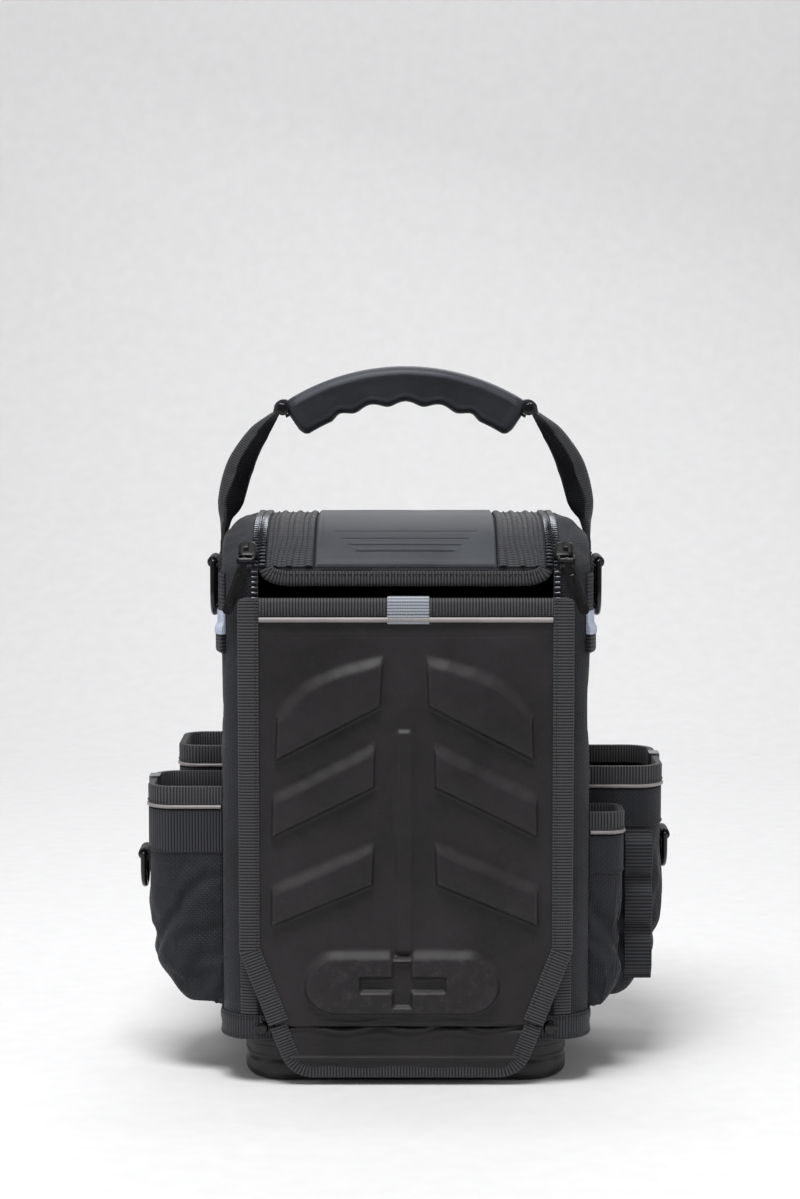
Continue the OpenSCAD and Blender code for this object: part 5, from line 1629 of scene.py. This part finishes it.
class CADDY_OT_zip(bpy.types.Operator):
    """Sets the zip teeth, sliders and pulls"""
    bl_idname = "caddy.zip"
    bl_label = "Zip"

    def execute(self, context):
        build_zip(context.scene.caddy_moulding.tooth_pitch * 1000)
        build_zip_sliders()
        build_zip_pulls()
        return {"FINISHED"}


class CADDY_OT_handle(bpy.types.Operator):
    """Moulds the grip and threads its webbing straps"""
    bl_idname = "caddy.handle"
    bl_label = "Handle"

    def execute(self, context):
        build_grip()
        build_straps()
        return {"FINISHED"}


class CADDY_OT_side_fittings(bpy.types.Operator):
    """Sews the strap anchors, ring tabs and bare patches on the side walls"""
    bl_idname = "caddy.side_fittings"
    bl_label = "Side Fittings"

    def execute(self, context):
        build_side_fittings()
        return {"FINISHED"}


class CADDY_OT_pockets(bpy.types.Operator):
    """Sews the four side pockets with their tapes, loops and tabs"""
    bl_idname = "caddy.pockets"
    bl_label = "Side Pockets"

    def execute(self, context):
        fabric = context.scene.caddy_fabric
        for name in POCKETS:
            build_pocket(name, fabric.pressure, fabric.looseness)
        pocket_tapes()
        build_pocket_fittings()
        return {"FINISHED"}


class CADDY_OT_hardware(bpy.types.Operator):
    """Finishes the rings and clips"""
    bl_idname = "caddy.hardware"
    bl_label = "Rings and Clips"

    def execute(self, context):
        finish_cad_nodes()
        return {"FINISHED"}


class CADDY_OT_stage(bpy.types.Operator):
    """Sets the floor, lamps, world and camera"""
    bl_idname = "caddy.stage"
    bl_label = "Stage"

    def execute(self, context):
        lamps = context.scene.caddy_stage
        build_stage(lamps.key, lamps.fill)
        return {"FINISHED"}


STEPS = (CADDY_OT_tub, CADDY_OT_body, CADDY_OT_inside, CADDY_OT_front_panel, CADDY_OT_lid, CADDY_OT_zip,
         CADDY_OT_handle, CADDY_OT_side_fittings, CADDY_OT_pockets, CADDY_OT_hardware, CADDY_OT_stage)


class CADDY_PT_sidebar(bpy.types.Panel):
    """Lists the pieces and their settings"""
    bl_idname = "CADDY_PT_sidebar"
    bl_label = "Tool Caddy"
    bl_space_type = "VIEW_3D"
    bl_region_type = "UI"
    bl_category = "Caddy"

    def draw(self, context):
        for group in (context.scene.caddy_fabric, context.scene.caddy_moulding, context.scene.caddy_stage):
            box = self.layout.box()
            for key in group.bl_rna.properties.keys():
                if key not in ("rna_type", "name"):
                    box.prop(group, key)
        for step in STEPS:
            self.layout.operator(step.bl_idname)


CLASSES = (CaddyFabric, CaddyMoulding, CaddyStage) + STEPS + (CADDY_PT_sidebar,)


def register():
    for each in CLASSES:
        bpy.utils.register_class(each)
    bpy.types.Scene.caddy_fabric = bpy.props.PointerProperty(type=CaddyFabric)
    bpy.types.Scene.caddy_moulding = bpy.props.PointerProperty(type=CaddyMoulding)
    bpy.types.Scene.caddy_stage = bpy.props.PointerProperty(type=CaddyStage)


def unregister():
    del bpy.types.Scene.caddy_fabric
    del bpy.types.Scene.caddy_moulding
    del bpy.types.Scene.caddy_stage
    for each in reversed(CLASSES):
        bpy.utils.unregister_class(each)


def main():
    register()
    for step in STEPS:
        group, name = step.bl_idname.split(".")
        if getattr(getattr(bpy.ops, group), name)() != {"FINISHED"}:
            raise RuntimeError(f"{step.bl_label} did not finish")


if __name__ == "__main__":
    main()
